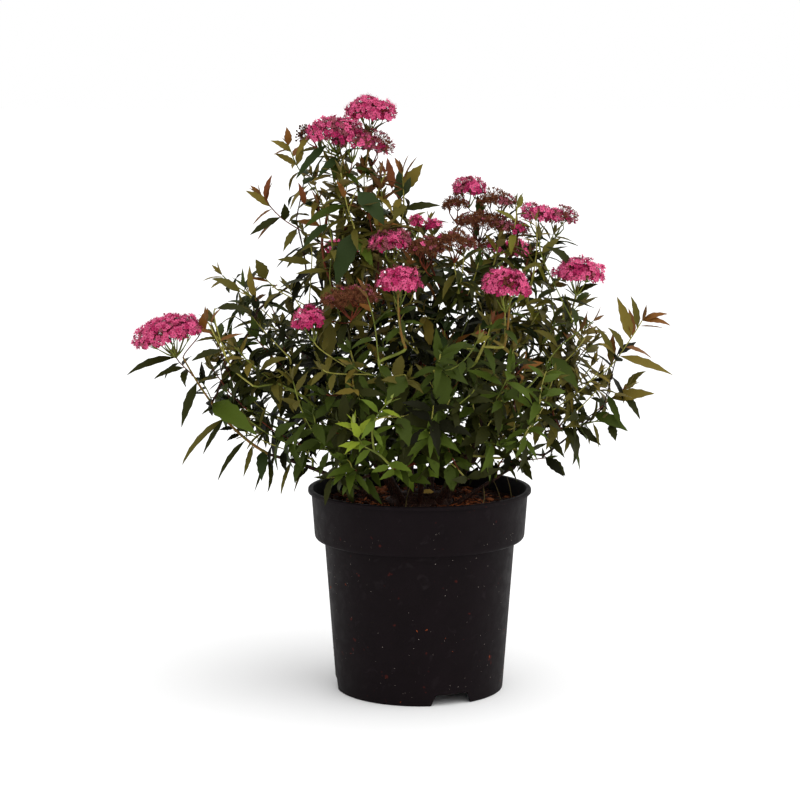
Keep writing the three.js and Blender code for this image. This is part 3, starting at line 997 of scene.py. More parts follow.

# Shoots that are placed one by one, clear of the crown or to fill it: how many leaves, their
# length, their tint, the tint of the young leaves at the tip, and the path
# Shoots with the "deep" tint stand in the heart of the crown; that tint is painted shade.
placed_shoots = [
    (8, 26, "khaki", "bronze", (-95, -8, 483), (-107, -6, 498), (-119, -2, 516), (-127, 0, 535)),
    (9, 28, "olive", "bronze", (-81, -10, 429), (-107, -6, 448), (-135, -2, 466), (-153, 0, 486)),
    (5, 27, "dark", "olive", (-107, -20, 387), (-105, -15, 416), (-105, -12, 437), (-112, -10, 452)),
    (9, 27, "dark", "olive", (-126, -30, 332), (-141, -20, 346), (-157, -10, 362), (-171, 0, 378)),
    (8, 28, "olive", "bronze", (-99, -20, 372), (-112, -15, 382), (-137, 0, 394), (-150, 5, 405)),
    (9, 29, "dark", "bronze", (-160, -54, 308), (-178, -58, 324), (-190, -60, 346), (-202, -60, 370)),
    (9, 33, "khaki", "bronze", (137, -10, 296), (168, -10, 308), (187, -8, 322), (208, -8, 352),
     (216, -10, 366)),
    (9, 33, "dark", "khaki", (123, 0, 255), (153, 0, 262), (170, 0, 273), (188, 0, 288), (203, 0, 300)),
    (6, 29, "dark", "mid", (78, -20, 228), (100, -10, 228), (124, 0, 229)),
    (11, 30, "olive", "bronze", (63, -60, 285), (96, -50, 300), (113, -45, 316), (134, -40, 344),
     (167, -25, 367)),
    (9, 29, "dark", "olive", (146, -40, 370), (136, -36, 389), (117, -28, 430), (115, -26, 446)),
    (6, 25, "mid", "redbronze", (52, -100, 337), (60, -106, 356), (66, -108, 375)),
    (8, 24, "mid", "moss", (13, -125, 332), (28, -130, 334), (42, -134, 345), (52, -135, 361)),
    (8, 27, "mid", "bronze", (-29, -90, 313), (-38, -110, 333), (-43, -122, 376), (-51, -122, 405)),
    (10, 25, "bright", "lime", (-26, -105, 237), (-39, -122, 253), (-55, -130, 264), (-61, -132, 282)),
    (7, 25, "bright", "lime", (-45, -120, 275), (-41, -128, 290), (-32, -130, 301)),
    (9, 29, "olive", "bronze", (-21, -12, 449), (-16, -10, 474), (-16, -8, 493), (-17, -6, 510)),
    (7, 26, "khaki", "redbronze", (-44, -20, 474), (-40, -18, 493), (-33, -16, 510)),
    (20, 35, "olive", "khaki", (-66, -30, 388), (-72, -26, 426), (-74, -22, 465), (-70, -10, 504)),
    (20, 35, "olive", "bronze", (-60, -10, 386), (-56, -6, 425), (-54, -4, 473), (-54, -6, 508)),
    (18, 33, "olive", "khaki", (-92, 6, 380), (-98, 10, 420), (-92, 12, 462), (-84, 10, 498)),
    (18, 33, "khaki", "bronze", (-36, 10, 380), (-30, 14, 420), (-34, 16, 460), (-42, 14, 500)),
    (16, 32, "olive", "khaki", (-76, -50, 372), (-86, -50, 408), (-84, -44, 440), (-88, -36, 468)),
    (16, 32, "olive", "bronze", (-44, -44, 396), (-40, -40, 426), (-46, -34, 454), (-52, -28, 484)),
    (16, 33, "olive", "khaki", (-56, -36, 430), (-62, -40, 455), (-70, -36, 480), (-76, -28, 510)),
    (16, 33, "khaki", "bronze", (-34, -24, 420), (-32, -24, 446), (-36, -20, 474), (-38, -14, 506)),
    (10, 28, "olive", "bronze", (-84, -24, 400), (-92, -26, 424), (-95, -22, 450), (-98, -16, 478)),
    (12, 28, "dark", "dark", (-110, -10, 262), (-130, -14, 268), (-152, -20, 280), (-170, -26, 298)),
    (12, 28, "deep", "dark", (-112, 10, 250), (-135, 6, 256), (-158, 0, 268), (-182, -6, 285)),
    (12, 28, "mid", "olive", (-108, -40, 245), (-128, -46, 252), (-148, -50, 262), (-165, -52, 275)),
    (12, 27, "dark", "olive", (-100, 20, 236), (-122, 22, 242), (-146, 20, 252), (-168, 16, 262)),
    (11, 27, "deep", "dark", (-105, -25, 232), (-125, -30, 240), (-148, -34, 250), (-170, -30, 260)),
    (12, 28, "dark", "mid", (-130, 15, 300), (-150, 12, 310), (-172, 6, 325), (-188, 0, 342)),
    (12, 28, "olive", "khaki", (-120, -40, 300), (-142, -44, 312), (-162, -46, 328), (-178, -48, 345)),
    (10, 28, "mid", "olive", (40, -10, 396), (38, -14, 412), (34, -18, 428), (30, -20, 440)),
    (10, 28, "olive", "khaki", (66, -6, 400), (70, -10, 416), (74, -12, 430), (76, -14, 444)),
    (9, 26, "dark", "olive", (20, -20, 398), (14, -26, 412), (10, -30, 428)),
    (9, 26, "mid", "khaki", (96, -4, 400), (102, -6, 416), (106, -8, 430)),
    (9, 26, "moss", "khaki", (104, -8, 385), (110, -12, 412), (113, -14, 440), (112, -14, 462)),
    (8, 24, "moss", "moss", (86, -10, 430), (91, -14, 455), (94, -14, 478)),
    (12, 28, "dark", "olive", (80, -60, 240), (100, -70, 262), (116, -76, 290), (126, -78, 320)),
    (12, 28, "olive", "khaki", (90, 50, 240), (108, 62, 262), (122, 72, 292), (130, 78, 322)),
    (12, 28, "dark", "olive", (-85, 55, 240), (-105, 68, 262), (-120, 78, 292), (-128, 84, 322)),
    (12, 28, "mid", "olive", (-80, -70, 240), (-98, -82, 262), (-112, -90, 290), (-120, -92, 318)),
    (10, 27, "dark", "olive", (62, 70, 330), (68, 84, 352), (70, 92, 378)),
    (10, 27, "dark", "mid", (-60, 60, 330), (-70, 70, 352), (-78, 76, 378)),
    (10, 29, "olive", "khaki", (-68, -18, 462), (-78, -22, 490), (-86, -22, 516)),
    (10, 28, "dark", "olive", (36, -28, 392), (40, -34, 412), (42, -38, 432)),
    (11, 28, "olive", "khaki", (104, 0, 345), (114, 4, 372), (120, 6, 398), (122, 6, 420)),
    (6, 26, "dark", "olive", (120, -10, 344), (130, -16, 362), (128, -20, 384), (124, -22, 402)),
    (12, 27, "olive", "khaki", (130, -20, 280), (146, -24, 292), (160, -28, 304), (172, -30, 318)),
    (10, 27, "dark", "olive", (126, 10, 268), (146, 12, 280), (164, 10, 292), (178, 6, 304)),
    (10, 26, "dark", "olive", (-176, -20, 298), (-184, -24, 314), (-190, -28, 330), (-195, -30, 346)),
    (9, 26, "mid", "khaki", (-186, -10, 290), (-192, -8, 306), (-195, -6, 322), (-197, -6, 338)),
    (12, 28, "dark", "mid", (-118, -10, 308), (-134, -12, 322), (-148, -14, 336), (-160, -14, 350)),
    (12, 26, "mid", "dark", (-112, -34, 246), (-126, -38, 254), (-140, -42, 262), (-152, -46, 272)),
    (14, 30, "dark", "mid", (-60, 10, 300), (-66, 12, 325), (-74, 14, 345), (-84, 14, 365)),
    (14, 30, "deep", "dark", (-90, 10, 300), (-98, 10, 322), (-106, 10, 342), (-114, 8, 362)),
    (14, 30, "dark", "deep", (-30, 20, 300), (-36, 22, 325), (-44, 24, 350), (-52, 24, 370)),
    (12, 28, "deep", "dark", (-8, 10, 305), (-10, 8, 330), (-14, 6, 350), (-20, 4, 368)),
    (14, 30, "deep", "dark", (30, 10, 300), (34, 12, 325), (40, 14, 345), (48, 14, 365)),
    (12, 28, "olive", "khaki", (132, -14, 306), (142, -18, 322), (150, -20, 338), (158, -20, 352)),
    (11, 27, "dark", "olive", (138, 6, 300), (150, 8, 314), (160, 8, 328), (170, 8, 342)),
    (10, 27, "olive", "khaki", (120, -30, 316), (136, -34, 326), (150, -36, 340), (160, -36, 354)),
    (13, 29, "dark", "olive", (20, 48, 300), (22, 54, 325), (24, 60, 350), (26, 64, 372)),
    (13, 29, "dark", "mid", (-30, 46, 300), (-34, 52, 325), (-38, 56, 350), (-40, 58, 374)),
    (13, 29, "olive", "khaki", (60, 40, 300), (66, 44, 325), (72, 48, 350), (76, 50, 374)),
    (13, 29, "dark", "olive", (-70, 36, 300), (-78, 40, 325), (-86, 42, 350), (-92, 42, 372)),
    (12, 28, "mid", "dark", (20, -76, 290), (24, -82, 310), (26, -86, 330), (28, -88, 346)),
    (12, 28, "dark", "mid", (-50, -66, 290), (-56, -72, 310), (-62, -76, 330), (-66, -78, 345)),
    (12, 28, "dark", "olive", (56, -60, 310), (60, -64, 330), (64, -66, 350), (66, -68, 368)),
    (10, 27, "dark", "olive", (-104, -20, 360), (-112, -18, 374), (-120, -14, 386), (-126, -10, 396)),
    (10, 27, "olive", "khaki", (-90, -10, 470), (-98, -12, 488), (-104, -12, 506)),
    (8, 25, "dark", "olive", (118, 0, 418), (124, 4, 434), (130, 8, 448)),
    (9, 26, "olive", "khaki", (112, -16, 370), (122, -20, 386), (130, -22, 402)),
    (10, 27, "dark", "mid", (46, -20, 392), (52, -24, 408), (56, -28, 424)),
    (14, 32, "dark", "mid", (-104, 22, 296), (-122, 24, 310), (-138, 26, 324), (-152, 26, 338)),
    (14, 32, "mid", "dark", (-96, 26, 262), (-118, 28, 272), (-140, 28, 284), (-160, 26, 298)),
    (12, 30, "dark", "olive", (-158, 8, 300), (-172, 10, 314), (-184, 10, 328), (-192, 8, 342)),
    (12, 30, "mid", "olive", (-168, -30, 282), (-182, -32, 296), (-192, -34, 310), (-200, -36, 322)),
    (12, 30, "dark", "olive", (128, 26, 290), (142, 28, 306), (154, 28, 320), (164, 26, 334)),
    (14, 32, "deep", "dark", (2, 30, 322), (6, 34, 345), (10, 36, 368), (12, 36, 392)),
    (14, 32, "deep", "dark", (-24, 34, 330), (-26, 38, 352), (-26, 40, 375), (-24, 40, 396)),
    (14, 32, "dark", "olive", (38, 34, 330), (44, 38, 352), (50, 40, 375), (54, 40, 398)),
    (14, 32, "deep", "dark", (16, 20, 360), (20, 22, 378), (26, 24, 396), (30, 24, 412)),
    (12, 30, "deep", "dark", (66, 30, 300), (76, 34, 318), (84, 36, 336), (92, 36, 354)),
    (12, 30, "deep", "dark", (-80, 30, 320), (-84, 34, 336), (-90, 36, 350), (-96, 36, 364)),
    (12, 30, "dark", "olive", (-128, 12, 318), (-140, 14, 334), (-150, 14, 348), (-158, 12, 362)),
    (11, 29, "mid", "olive", (-176, -10, 318), (-186, -12, 334), (-194, -14, 350), (-200, -14, 366)),
    (11, 29, "dark", "olive", (-140, -24, 300), (-154, -28, 314), (-166, -30, 328), (-176, -30, 342)),
    (12, 29, "olive", "khaki", (130, -4, 284), (146, -6, 296), (158, -6, 308), (168, -6, 322)),
    (11, 28, "dark", "olive", (140, -16, 268), (154, -18, 280), (166, -18, 292), (176, -18, 304)),
    (10, 28, "olive", "bronze", (-70, -6, 476), (-76, -8, 492), (-82, -8, 508)),
    (12, 26, "dark", "mid", (-150, -10, 262), (-162, -8, 272), (-174, -8, 284), (-184, -8, 298)),
    (11, 28, "olive", "khaki", (112, -4, 296), (134, -8, 316), (150, -8, 336), (160, -8, 356)),
    (11, 28, "dark", "olive", (-150, -18, 308), (-168, -22, 322), (-184, -30, 338), (-196, -36, 354)),
]

# Heads of blossom: middle, width and height, lean to the right in degrees, and age
heads = [
    ((-48, 5, 571), 50, 27, 4, "fresh"),
    ((-84, -20, 553), 50, 24, -10, "mixed"),
    ((-65, -14, 544), 42, 22, 0, "mixed"),
    ((-42, 0, 538), 33, 20, 12, "faded"),
    ((-112, -14, 548), 20, 13, -42, "seed"),
    ((-20, -122, 417), 41, 26, 0, "fresh"),
    ((81, -108, 413), 46, 31, 5, "fresh"),
    ((154, -20, 417), 50, 25, 6, "fresh"),
    ((-242, -42, 362), 67, 32, -15, "fresh"),
    ((48, 30, 495), 36, 18, 0, "fresh"),
    ((114, 16, 469), 32, 16, 0, "mixed"),
    ((137, 18, 467), 34, 16, 10, "mixed"),
    ((-3, -30, 465), 17, 11, 0, "fresh"),
    ((12, -26, 462), 19, 11, 8, "fresh"),
    ((109, 10, 437), 14, 11, 0, "mixed"),
    ((-105, -84, 377), 31, 21, -12, "fresh"),
    ((-29, -50, 447), 42, 20, -6, "mixed"),
    ((5, -46, 442), 42, 20, 0, "spent"),
    ((35, -40, 447), 40, 18, 6, "spent"),
    ((34, 24, 479), 30, 14, -6, "spent"),
    ((76, 24, 482), 38, 16, 4, "spent"),
    ((58, 6, 463), 48, 17, 0, "spent"),
    ((88, 0, 457), 38, 16, 8, "spent"),
    ((-67, -70, 396), 56, 19, -4, "spent"),
    ((-78, 112, 430), 38, 20, -8, "fresh"),
    ((-50, 124, 432), 32, 18, 4, "mixed"),
    ((98, 122, 427), 40, 20, 8, "fresh"),
    ((70, 130, 428), 30, 16, -4, "spent"),
    ((6, 150, 424), 34, 16, 0, "faded"),
]
head_stalk = 13.0  # from the underside of a head down to where its stalks meet
head_least = 26.0  # the shoot under a head is at least this long

# Leaves that are placed one by one, most of them against the light: width, tint, foot and tip
# The "deep" tint on the leaves low under the crown is painted shade.
lone_leaves = [
    (8, "dark", (-240, -42, 337), (-282, -48, 317)),
    (6, "dark", (-226, -41, 321), (-256, -46, 313)),
    (9, "dark", (-222, -38, 307), (-230, -46, 266)),
    (19, "fresh", (-201, -38, 289), (-155, -80, 264)),
    (9, "bronze", (-211, -42, 357), (-203, -44, 382)),
    (6, "olive", (-193, -35, 270), (-230, -44, 229)),
    (5, "dark", (-192, -34, 269), (-210, -42, 239)),
    (5, "deep", (-181, -32, 264), (-194, -40, 263)),
    (6, "deep", (-176, -32, 259), (-187, -40, 252)),
    (5, "dark", (-171, -31, 249), (-196, -42, 213)),
    (5, "olive", (-161, -30, 246), (-171, -42, 217)),
    (11, "teal", (-153, -29, 240), (-153, -46, 214)),
    (3, "dark", (-153, -29, 232), (-161, -36, 201)),
    (6, "dark", (-149, -28, 236), (-148, -38, 201)),
    (3, "dark", (-141, -28, 232), (-145, -34, 222)),
    (4, "olive", (-125, -26, 228), (-135, -38, 198)),
    (4, "dark", (-109, -30, 222), (-120, -50, 215)),
    (3, "olive", (-107, -30, 221), (-122, -52, 203)),
    (3, "dark", (-201, -36, 285), (-211, -42, 278)),
    (4, "dark", (80, -30, 231), (94, -50, 213)),
    (5, "dark", (97, -12, 227), (109, -24, 212)),
    (9, "deep", (66, -46, 237), (68, -62, 217)),
    (6, "deep", (56, -60, 231), (47, -76, 215)),
    (5, "deep", (75, -40, 232), (66, -58, 210)),
    (7, "deep", (86, -30, 240), (82, -46, 221)),
    (11, "mid", (27, -92, 239), (29, -98, 214)),
    (12, "mid", (-27, -88, 234), (-11, -98, 217)),
    (11, "mid", (-11, -92, 226), (10, -104, 221)),
    (9, "fresh", (-61, -96, 234), (-89, -104, 227)),
    (7, "mid", (-59, -94, 230), (-69, -98, 216)),
    (9, "deep", (123, -10, 232), (141, -22, 214)),
    (9, "dark", (-194, -58, 383), (-161, -66, 380)),
    (9, "olive", (-174, -5, 393), (-203, -2, 406)),
    (8, "khaki", (-159, -10, 386), (-165, -6, 420)),
    (12, "olive", (-148, 4, 404), (-160, 2, 425)),
    (9, "khaki", (-145, -2, 475), (-169, -4, 492)),
    (7, "redbronze", (-147, -2, 481), (-143, 2, 507)),
    (9, "dark", (-135, -4, 460), (-131, -8, 480)),
    (8, "dark", (-135, -4, 465), (-165, -8, 449)),
    (9, "olive", (-106, -14, 419), (-138, -18, 426)),
    (8, "khaki", (-125, 0, 531), (-145, -3, 540)),
    (7, "bronze", (-125, 0, 533), (-129, 2, 553)),
    (7, "khaki", (-119, -2, 519), (-141, -5, 528)),
    (7, "khaki", (-117, -2, 517), (-113, 2, 540)),
    (8, "redbronze", (-27, -10, 493), (-31, -8, 523)),
    (13, "khaki", (-16, -8, 491), (3, -10, 518)),
    (9, "dark", (-15, -10, 475), (20, -16, 478)),
    (18, "teal", (-60, -40, 493), (-34, -52, 461)),
    (20, "teal", (-65, -40, 452), (-80, -60, 405)),
    (10, "bright", (-56, -36, 452), (-45, -50, 420)),
    (16, "mid", (-14, -118, 326), (-32, -134, 304)),
    (17, "mid", (18, -122, 327), (21, -136, 295)),
    (15, "mid", (-20, -128, 290), (-11, -142, 263)),
    (9, "lime", (-55, -124, 255), (-77, -132, 262)),
    (8, "lime", (-58, -128, 267), (-65, -132, 287)),
    (11, "khaki", (207, -8, 347), (191, -12, 390)),
    (7, "olive", (210, -9, 359), (205, -4, 390)),
    (7, "bronze", (219, -10, 366), (244, -12, 361)),
    (6, "bronze", (220, -10, 368), (242, -6, 372)),
    (8, "olive", (202, -8, 337), (182, -14, 360)),
    (10, "khaki", (193, -8, 329), (247, -16, 313)),
    (9, "olive", (182, -10, 325), (170, -16, 362)),
    (8, "bronze", (187, -8, 324), (189, 0, 353)),
    (8, "olive", (204, 0, 300), (222, 2, 315)),
    (13, "khaki", (190, 0, 289), (230, -8, 294)),
    (8, "dark", (198, 0, 295), (216, -8, 268)),
    (12, "mid", (172, 0, 275), (204, -10, 257)),
    (9, "dark", (155, 0, 263), (178, -12, 243)),
    (7, "mid", (181, 0, 291), (197, -14, 262)),
    (9, "dark", (123, 0, 255), (142, -14, 231)),
    (13, "dark", (123, 0, 230), (143, -12, 213)),
    (9, "dark", (98, -12, 229), (110, -26, 211)),
    (14, "mid", (124, -42, 337), (151, -62, 306)),
    (10, "dark", (146, -22, 418), (120, -34, 440)),
    (7, "dark", (153, -20, 397), (172, -24, 403)),
    (9, "teal", (-89, -22, 537), (-119, -34, 504)),
    (8, "teal", (-76, -20, 526), (-98, -34, 505)),
    (6, "khaki", (-103, -14, 548), (-119, -20, 524)),
    (7, "bronze", (-72, -30, 484), (-80, -34, 503)),
    (6, "redbronze", (-111, -20, 479), (-117, -24, 501)),
    (8, "mid", (-72, -30, 478), (-112, -44, 457)),
    (8, "teal", (-80, -36, 464), (-113, -48, 438)),
    (7, "khaki", (-17, -16, 486), (-26, -26, 469)),
    (9, "dark", (187, 0, 263), (192, -8, 247)),
]


def smooth_path(corners):
    """A flowing line through the corners, in mm."""
    c = [Vector(p) for p in corners]
    c = [2 * c[0] - c[1]] + c + [2 * c[-1] - c[-2]]
    points = []
    for a, b, d, e in zip(c, c[1:], c[2:], c[3:]):
        count = max(2, round((d - b).length / limb_step))
        for k in range(count):
            t = k / count
            bow = (2 * a - 5 * b + 4 * d - e) * t * t + (3 * b - a - 3 * d + e) * t**3
            points.append(b + ((d - a) * t + bow) / 2)
    return points + [c[-2]]


def joints():
    """Every place that a limb can fork from: its place, its direction, its limb and index."""
    places, ways, owners = [], [], []
    for i, limb in enumerate(limbs):
        path = limb["path"]
        first = len(path) // 2 if limb["kind"] == "stem" else 1
        last = max(2, int(len(path) * shoot_top)) if limb["kind"] == "shoot" else len(path)
        for k in range(first, last):
            places.append(path[k])
            ways.append((path[k] - path[k - 1]).normalized())
            owners.append((i, k))
    return np.array(places), np.array(ways), owners


def best_joint(goal, least):
    """The limb and index to fork from on the way to the goal, and the limb's direction there."""
    places, ways, owners = joints()
    gap = np.array(goal) - places
    reach = np.linalg.norm(gap, axis=1) + 1e-6
    unit = gap / reach[:, None]
    turn = 1 - (unit * ways).sum(1)
    fall = np.clip(-unit[:, 2], 0, 1)
    cost = reach * (1 + turn_cost * turn + fall_cost * fall) + np.clip(least - reach, 0, None) * short_cost
    best = int(cost.argmin())
    return *owners[best], Vector(ways[best])


def grow_to(goal, way, kind, least=0.0):
    """Grows a limb from the best older one to the goal, arriving in the direction way."""
    owner, index, parent_way = best_joint(goal, least)
    foot = limbs[owner]["path"][index]
    chord = goal - foot
    along_parent, ahead, up = start_mix
    start = (parent_way * along_parent + chord.normalized() * ahead + Vector((0, 0, up))).normalized()
    pull = chord.length * limb_pull
    count = max(3, round(chord.length / limb_step))
    path = []
    for k in range(count + 1):
        t = k / count
        rise, fall = t * t * (3 - 2 * t), t**3 - t * t
        path.append(foot.lerp(goal, rise) + start * pull * (fall - t * t + t) + way * pull * fall)
    return add_limb(path, None, owner, index, kind)


def carry(path, radii, kind):
    """Grows a stalk to the foot of a given path, and notes the path as a limb on top of it."""
    stalk = grow_to(path[0], (path[1] - path[0]).normalized(), "shoot")
    return stalk, add_limb(path, radii, stalk, len(limbs[stalk]["path"]) - 1, kind)


def leaves_along(owner, gap):
    """How many leaves a limb bears with that gap between them in mm."""
    return round(lengths(limbs[owner]["path"])[-1] / gap)


def outward(point, lift):
    """The way a shoot heads at that place: out from the heart of the crown, and up."""
    out = (point - crown_heart).normalized()
    return (out + Vector((0, 0, lift))).normalized()


def middle_of(node):
    """The middle of a CAD mass, in mm."""
    points = [v.co for v in frame["nodes"][node].data.vertices]
    return sum(points, Vector()) / len(points) / MM


def is_inside(tree, point):
    """True if a point in metres is inside the closed solid of a search tree."""
    start, crossings = point.copy(), 0
    way = Vector((0.0123, 0.0071, 1)).normalized()
    while True:
        hit, _, _, _ = tree.ray_cast(start, way)
        if hit is None:
            return crossings % 2 == 1
        crossings += 1
        start = hit + way * 1e-6


def shoot_tips(node, spacing, taken, rng):
    """Places for the tips of shoots through a CAD mass, no two closer than the spacing."""
    mesh = bmesh.new()
    mesh.from_mesh(frame["nodes"][node].data)
    tree = BVHTree.FromBMesh(mesh)
    mesh.free()
    low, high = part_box(node)
    found = []
    for _ in range(tip_tries):
        point = Vector([rng.uniform(a, b) for a, b in zip(low, high)])
        _, _, _, depth = tree.find_nearest(point)
        if depth < skin_depth * MM or not is_inside(tree, point):
            continue
        spot = point / MM
        if all((spot - t).length > spacing for t in taken):
            taken.append(spot)
            found.append(spot)
    return found


def region_tint(spot, rng):
    """The tint of a shoot's leaves, dealt by where in the crown it stands."""
    if spot.z > 400:
        return rng.choices(("olive", "dark", "khaki", "bronze"), (5, 1, 5, 2))[0]
    # Low at the front, under the crown, the dark tints win: painted shade.
    if spot.y < -40 and spot.z < 330:
        return rng.choices(("mid", "dark", "fresh", "deep", "olive"), (3, 5, 2, 2, 1))[0]
    # In the heart of the crown the "deep" tint wins: painted shade.
    if spot.xy.length < 60:
        return rng.choices(("deep", "dark", "teal"), (7, 2, 1))[0]
    if spot.x > 90:
        return rng.choices(("olive", "dark", "khaki", "mid"), (6, 2, 4, 2))[0]
    if spot.x < -90:
        return rng.choices(("dark", "mid", "deep", "olive"), (5, 3, 3, 1))[0]
    return rng.choices(("dark", "deep", "mid", "olive", "teal"), (5, 3, 2, 2, 1))[0]


rng = random.Random(5)
for node in sorted(foliage_nodes, key=lambda n: (middle_of(n) - crown_heart).length):
    goal = middle_of(node)
    grow_to(goal, outward(goal, bough_lift), "bough")

leafy = []  # limbs that bear leaves: limb, leaf count, length, tint, young tint, bare share
for count, length, tint, young, *corners in sorted(placed_shoots, key=lambda row: row[4][2]):
    stalk, owner = carry(smooth_path(corners), None, "shoot")
    leafy.append((owner, count, length, tint, young, 0.0))
    leafy.append((stalk, leaves_along(stalk, stalk_leaf_gap), length, tint, tint, stalk_bare))
for path in shoots.values():
    radii = [shoot_thick * (1 - (1 - tip_share) * k / len(path)) for k in range(len(path))]
    stalk, owner = carry(path, radii, "shoot_stem")
    limbs[stalk]["top"] = radii[0]
    leafy.append((owner, 4, 22, "mid", "olive", 0.0))

meetings = []  # where the stalks of each head meet
for middle, _, height, lean, _ in heads:
    up = Matrix.Rotation(math.radians(lean), 3, "Y") @ Vector((0, 0, 1))
    foot = Vector(middle) - up * (height / 2 + head_stalk)
    stalk = grow_to(foot, up, "shoot", head_least)
    meetings.append(foot)
    leafy.append((stalk, 5, 25, rng.choice(("dark", "olive", "mid")), "olive", stalk_bare))

lone_feet = []
for _, _, foot, tip in lone_leaves:
    foot, tip = Vector(foot), Vector(tip)
    spots = np.array([p for limb in limbs for p in limb["path"]])
    gap = np.linalg.norm(spots - np.array(foot), axis=1)
    nearest = int(gap.argmin())
    if gap[nearest] < leaf_snap:
        foot = Vector(spots[nearest])
    else:
        grow_to(foot, (tip - foot).normalized(), "shoot")
    lone_feet.append(foot)

taken = [limbs[owner]["path"][-1] for owner, *_ in leafy]
# Only placed shoots grow in these sprays.
clear_sprays = (
    "spray_top_left",
    "spray_upper_left",
    "spray_top_right",
    "spray_right_upper",
    "spray_hanging_left",
    "spray_low_right",
)
sparse_sprays = ("spray_right_lower",)
tips = []
for node in foliage_nodes:
    if node not in clear_sprays:
        spacing = sparse_spacing if node in sparse_sprays else shoot_spacing[node[:6]]
        tips += shoot_tips(node, spacing, taken, rng)
for spot in sorted(tips, key=lambda p: (p - crown_heart).length):
    way = outward(spot, low_lift if spot.z < low_height else bough_lift)
    owner = grow_to(spot, way, "shoot", tip_least)
    tint = region_tint(spot, rng)
    tip_tints = ("mid", "fresh", "bright") if spot.z < green_height else ("olive", "khaki", "bronze")
    young = rng.choices((tint, *tip_tints), (6, 3, 2, 1))[0]
    fewest, most = leaf_numbers
    count = min(most, max(fewest, leaves_along(owner, leaf_gap)))
    leafy.append((owner, count, rng.uniform(*leaf_lengths), tint, young, shoot_bare))
for owner, limb in enumerate(limbs):
    if limb["kind"] == "bough":
        # The leaves on the boughs inside the crown take the dark tints, "deep" among them: painted shade.
        tint = rng.choice(("dark", "deep", "teal", "mid"))
        count = leaves_along(owner, bough_leaf_gap)
        leafy.append((owner, count, rng.uniform(*bough_leaf_lengths), tint, tint, bough_bare))

# A limb is as thick as all that grows on it needs.
for limb in limbs:
    limb["load"] = [0.0] * len(limb["path"])
for limb in reversed(limbs):
    carried = limb.get("top", twig_radius) ** pipe_power
    radii = []
    for load in reversed(limb["load"]):
        carried += load
        radii.append(carried ** (1 / pipe_power))
    if limb["radii"] is None:
        limb["radii"] = radii[::-1]
    if limb["parent"] is not None:
        parent = limbs[limb["parent"]]
        parent["load"][min(limb["joint"], len(parent["load"]) - 1)] += carried
for limb in limbs:
    if limb["parent"] is not None:
        cap = limbs[limb["parent"]]["radii"][limb["joint"]]
        limb["radii"] = [min(r, cap) for r in limb["radii"]]

# Boughs have the same ridged bark as the stems, in one mesh.
bough_sides = 10
bough_ridge = 0.1


def thickness(limb):
    """A limb's radius at a distance from its foot."""
    walked = lengths(limb["path"])
    return lambda s: float(np.interp(s, walked, limb["radii"]))


points, faces = [], []
for seed, limb in enumerate(limbs):
    if limb["kind"] == "bough":
        more_points, more_faces = bark_tube(limb["path"], thickness(limb), bough_sides, bough_ridge, seed)
        faces += [tuple(i + len(points) for i in f) for f in more_faces]
        points += more_points
boughs = mesh_object("bark_boughs", [p * MM for p in points], faces, old_bark)
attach(boughs, "root")
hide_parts(*foliage_nodes)


def tube_tree():
    """Lines with a thickness to closed round tubes."""
    tree, given = new_tree("tubes", Lines="Geometry", Sides="Int", Material="Material")
    line = add_node(tree, "GeometryNodeMeshToCurve", {"Mesh": given["Lines"]})
    ring = add_node(tree, "GeometryNodeCurvePrimitiveCircle", {"Resolution": given["Sides"], "Radius": 1.0})
    thick = add_node(tree, "GeometryNodeInputNamedAttribute", {"Name": "thick"}, {"data_type": "FLOAT"})
    tube = add_node(
        tree,
        "GeometryNodeCurveToMesh",
        {"Curve": line, "Profile Curve": ring, "Scale": thick, "Fill Caps": True},
    )
    plain = add_node(tree, "GeometryNodeRealizeInstances", {"Geometry": tube})
    done = add_node(tree, "GeometryNodeSetMaterial", {"Geometry": plain, "Material": given["Material"]})
    add_node(tree, "NodeGroupOutput", {"Pieces": done})
    return tree


def tubes(name, tree, lines, sides, material):
    """One mesh of tubes. Each line is its points in mm and its radii in mm."""
    points, edges, thick = [], [], []
    for path, radii in lines:
        first = len(points)
        points += [p * MM for p in path]
        thick += [r * MM for r in radii]
        edges += [(first + i, first + i + 1) for i in range(len(path) - 1)]
    values = {"Sides": sides, "Material": material}
    made = grown(name, points, edges, {"thick": ("FLOAT", thick)}, tree, values)
    made.data.shade_smooth()
    return made


def stalk_material(name, dark, light):
    """Soft green or red stalk skin, more or less flushed along its length, with a slight gloss."""
    return mottled(name, dark, light, flush_patch, 0.55, specular=0.15, detail=3.0, band=0.12, relief=0)


# Green wood of this season: smooth and faintly glossy, in three flushes that vary by shoot.
stalk_skins = {
    "green": stalk_material("green_stalk", "#4e5820", "#747a30"),
    "yellow": stalk_material("yellow_green_stalk", "#7b782e", "#a09a50"),
    "red": stalk_material("red_stalk", "#421a12", "#70341e"),
}
twig_sides = 7
tube = tube_tree()
stalk_lines = {name: [] for name in stalk_skins}
rng = random.Random(8)
for limb in limbs:
    if limb["kind"] == "shoot":
        skin = rng.choices(list(stalk_skins), (4, 6, 3))[0]
        stalk_lines[skin].append((limb["path"], limb["radii"]))
for skin, lines in stalk_lines.items():
    twigs = tubes(f"twigs_{skin}", tube, lines, twig_sides, stalk_skins[skin])
    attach(twigs, "root")

# Dead stubs of old shoots stand in the compost, dried to the colour of straw.
stubs = (
    ((82, 11, 182), (77, 28, 195), (71, 46, 206)),
    ((92, 16, 182), (91, 30, 192), (88, 42, 203)),
    ((-14, -35, 182), (-13, -36, 194), (-10, -36, 206)),
    ((60, -34, 182), (63, -28, 194), (62, -20, 205)),
)
stub_thick = 0.45
paths = [smooth_path(corners) for corners in stubs]
lines = [(path, [stub_thick] * len(path)) for path in paths]
dead_skin = stalk_material("dead_stalk", "#463a22", "#76683c")
dead_stubs = tubes("dead_stubs", tube, lines, twig_sides, dead_skin)
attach(dead_stubs, "root")

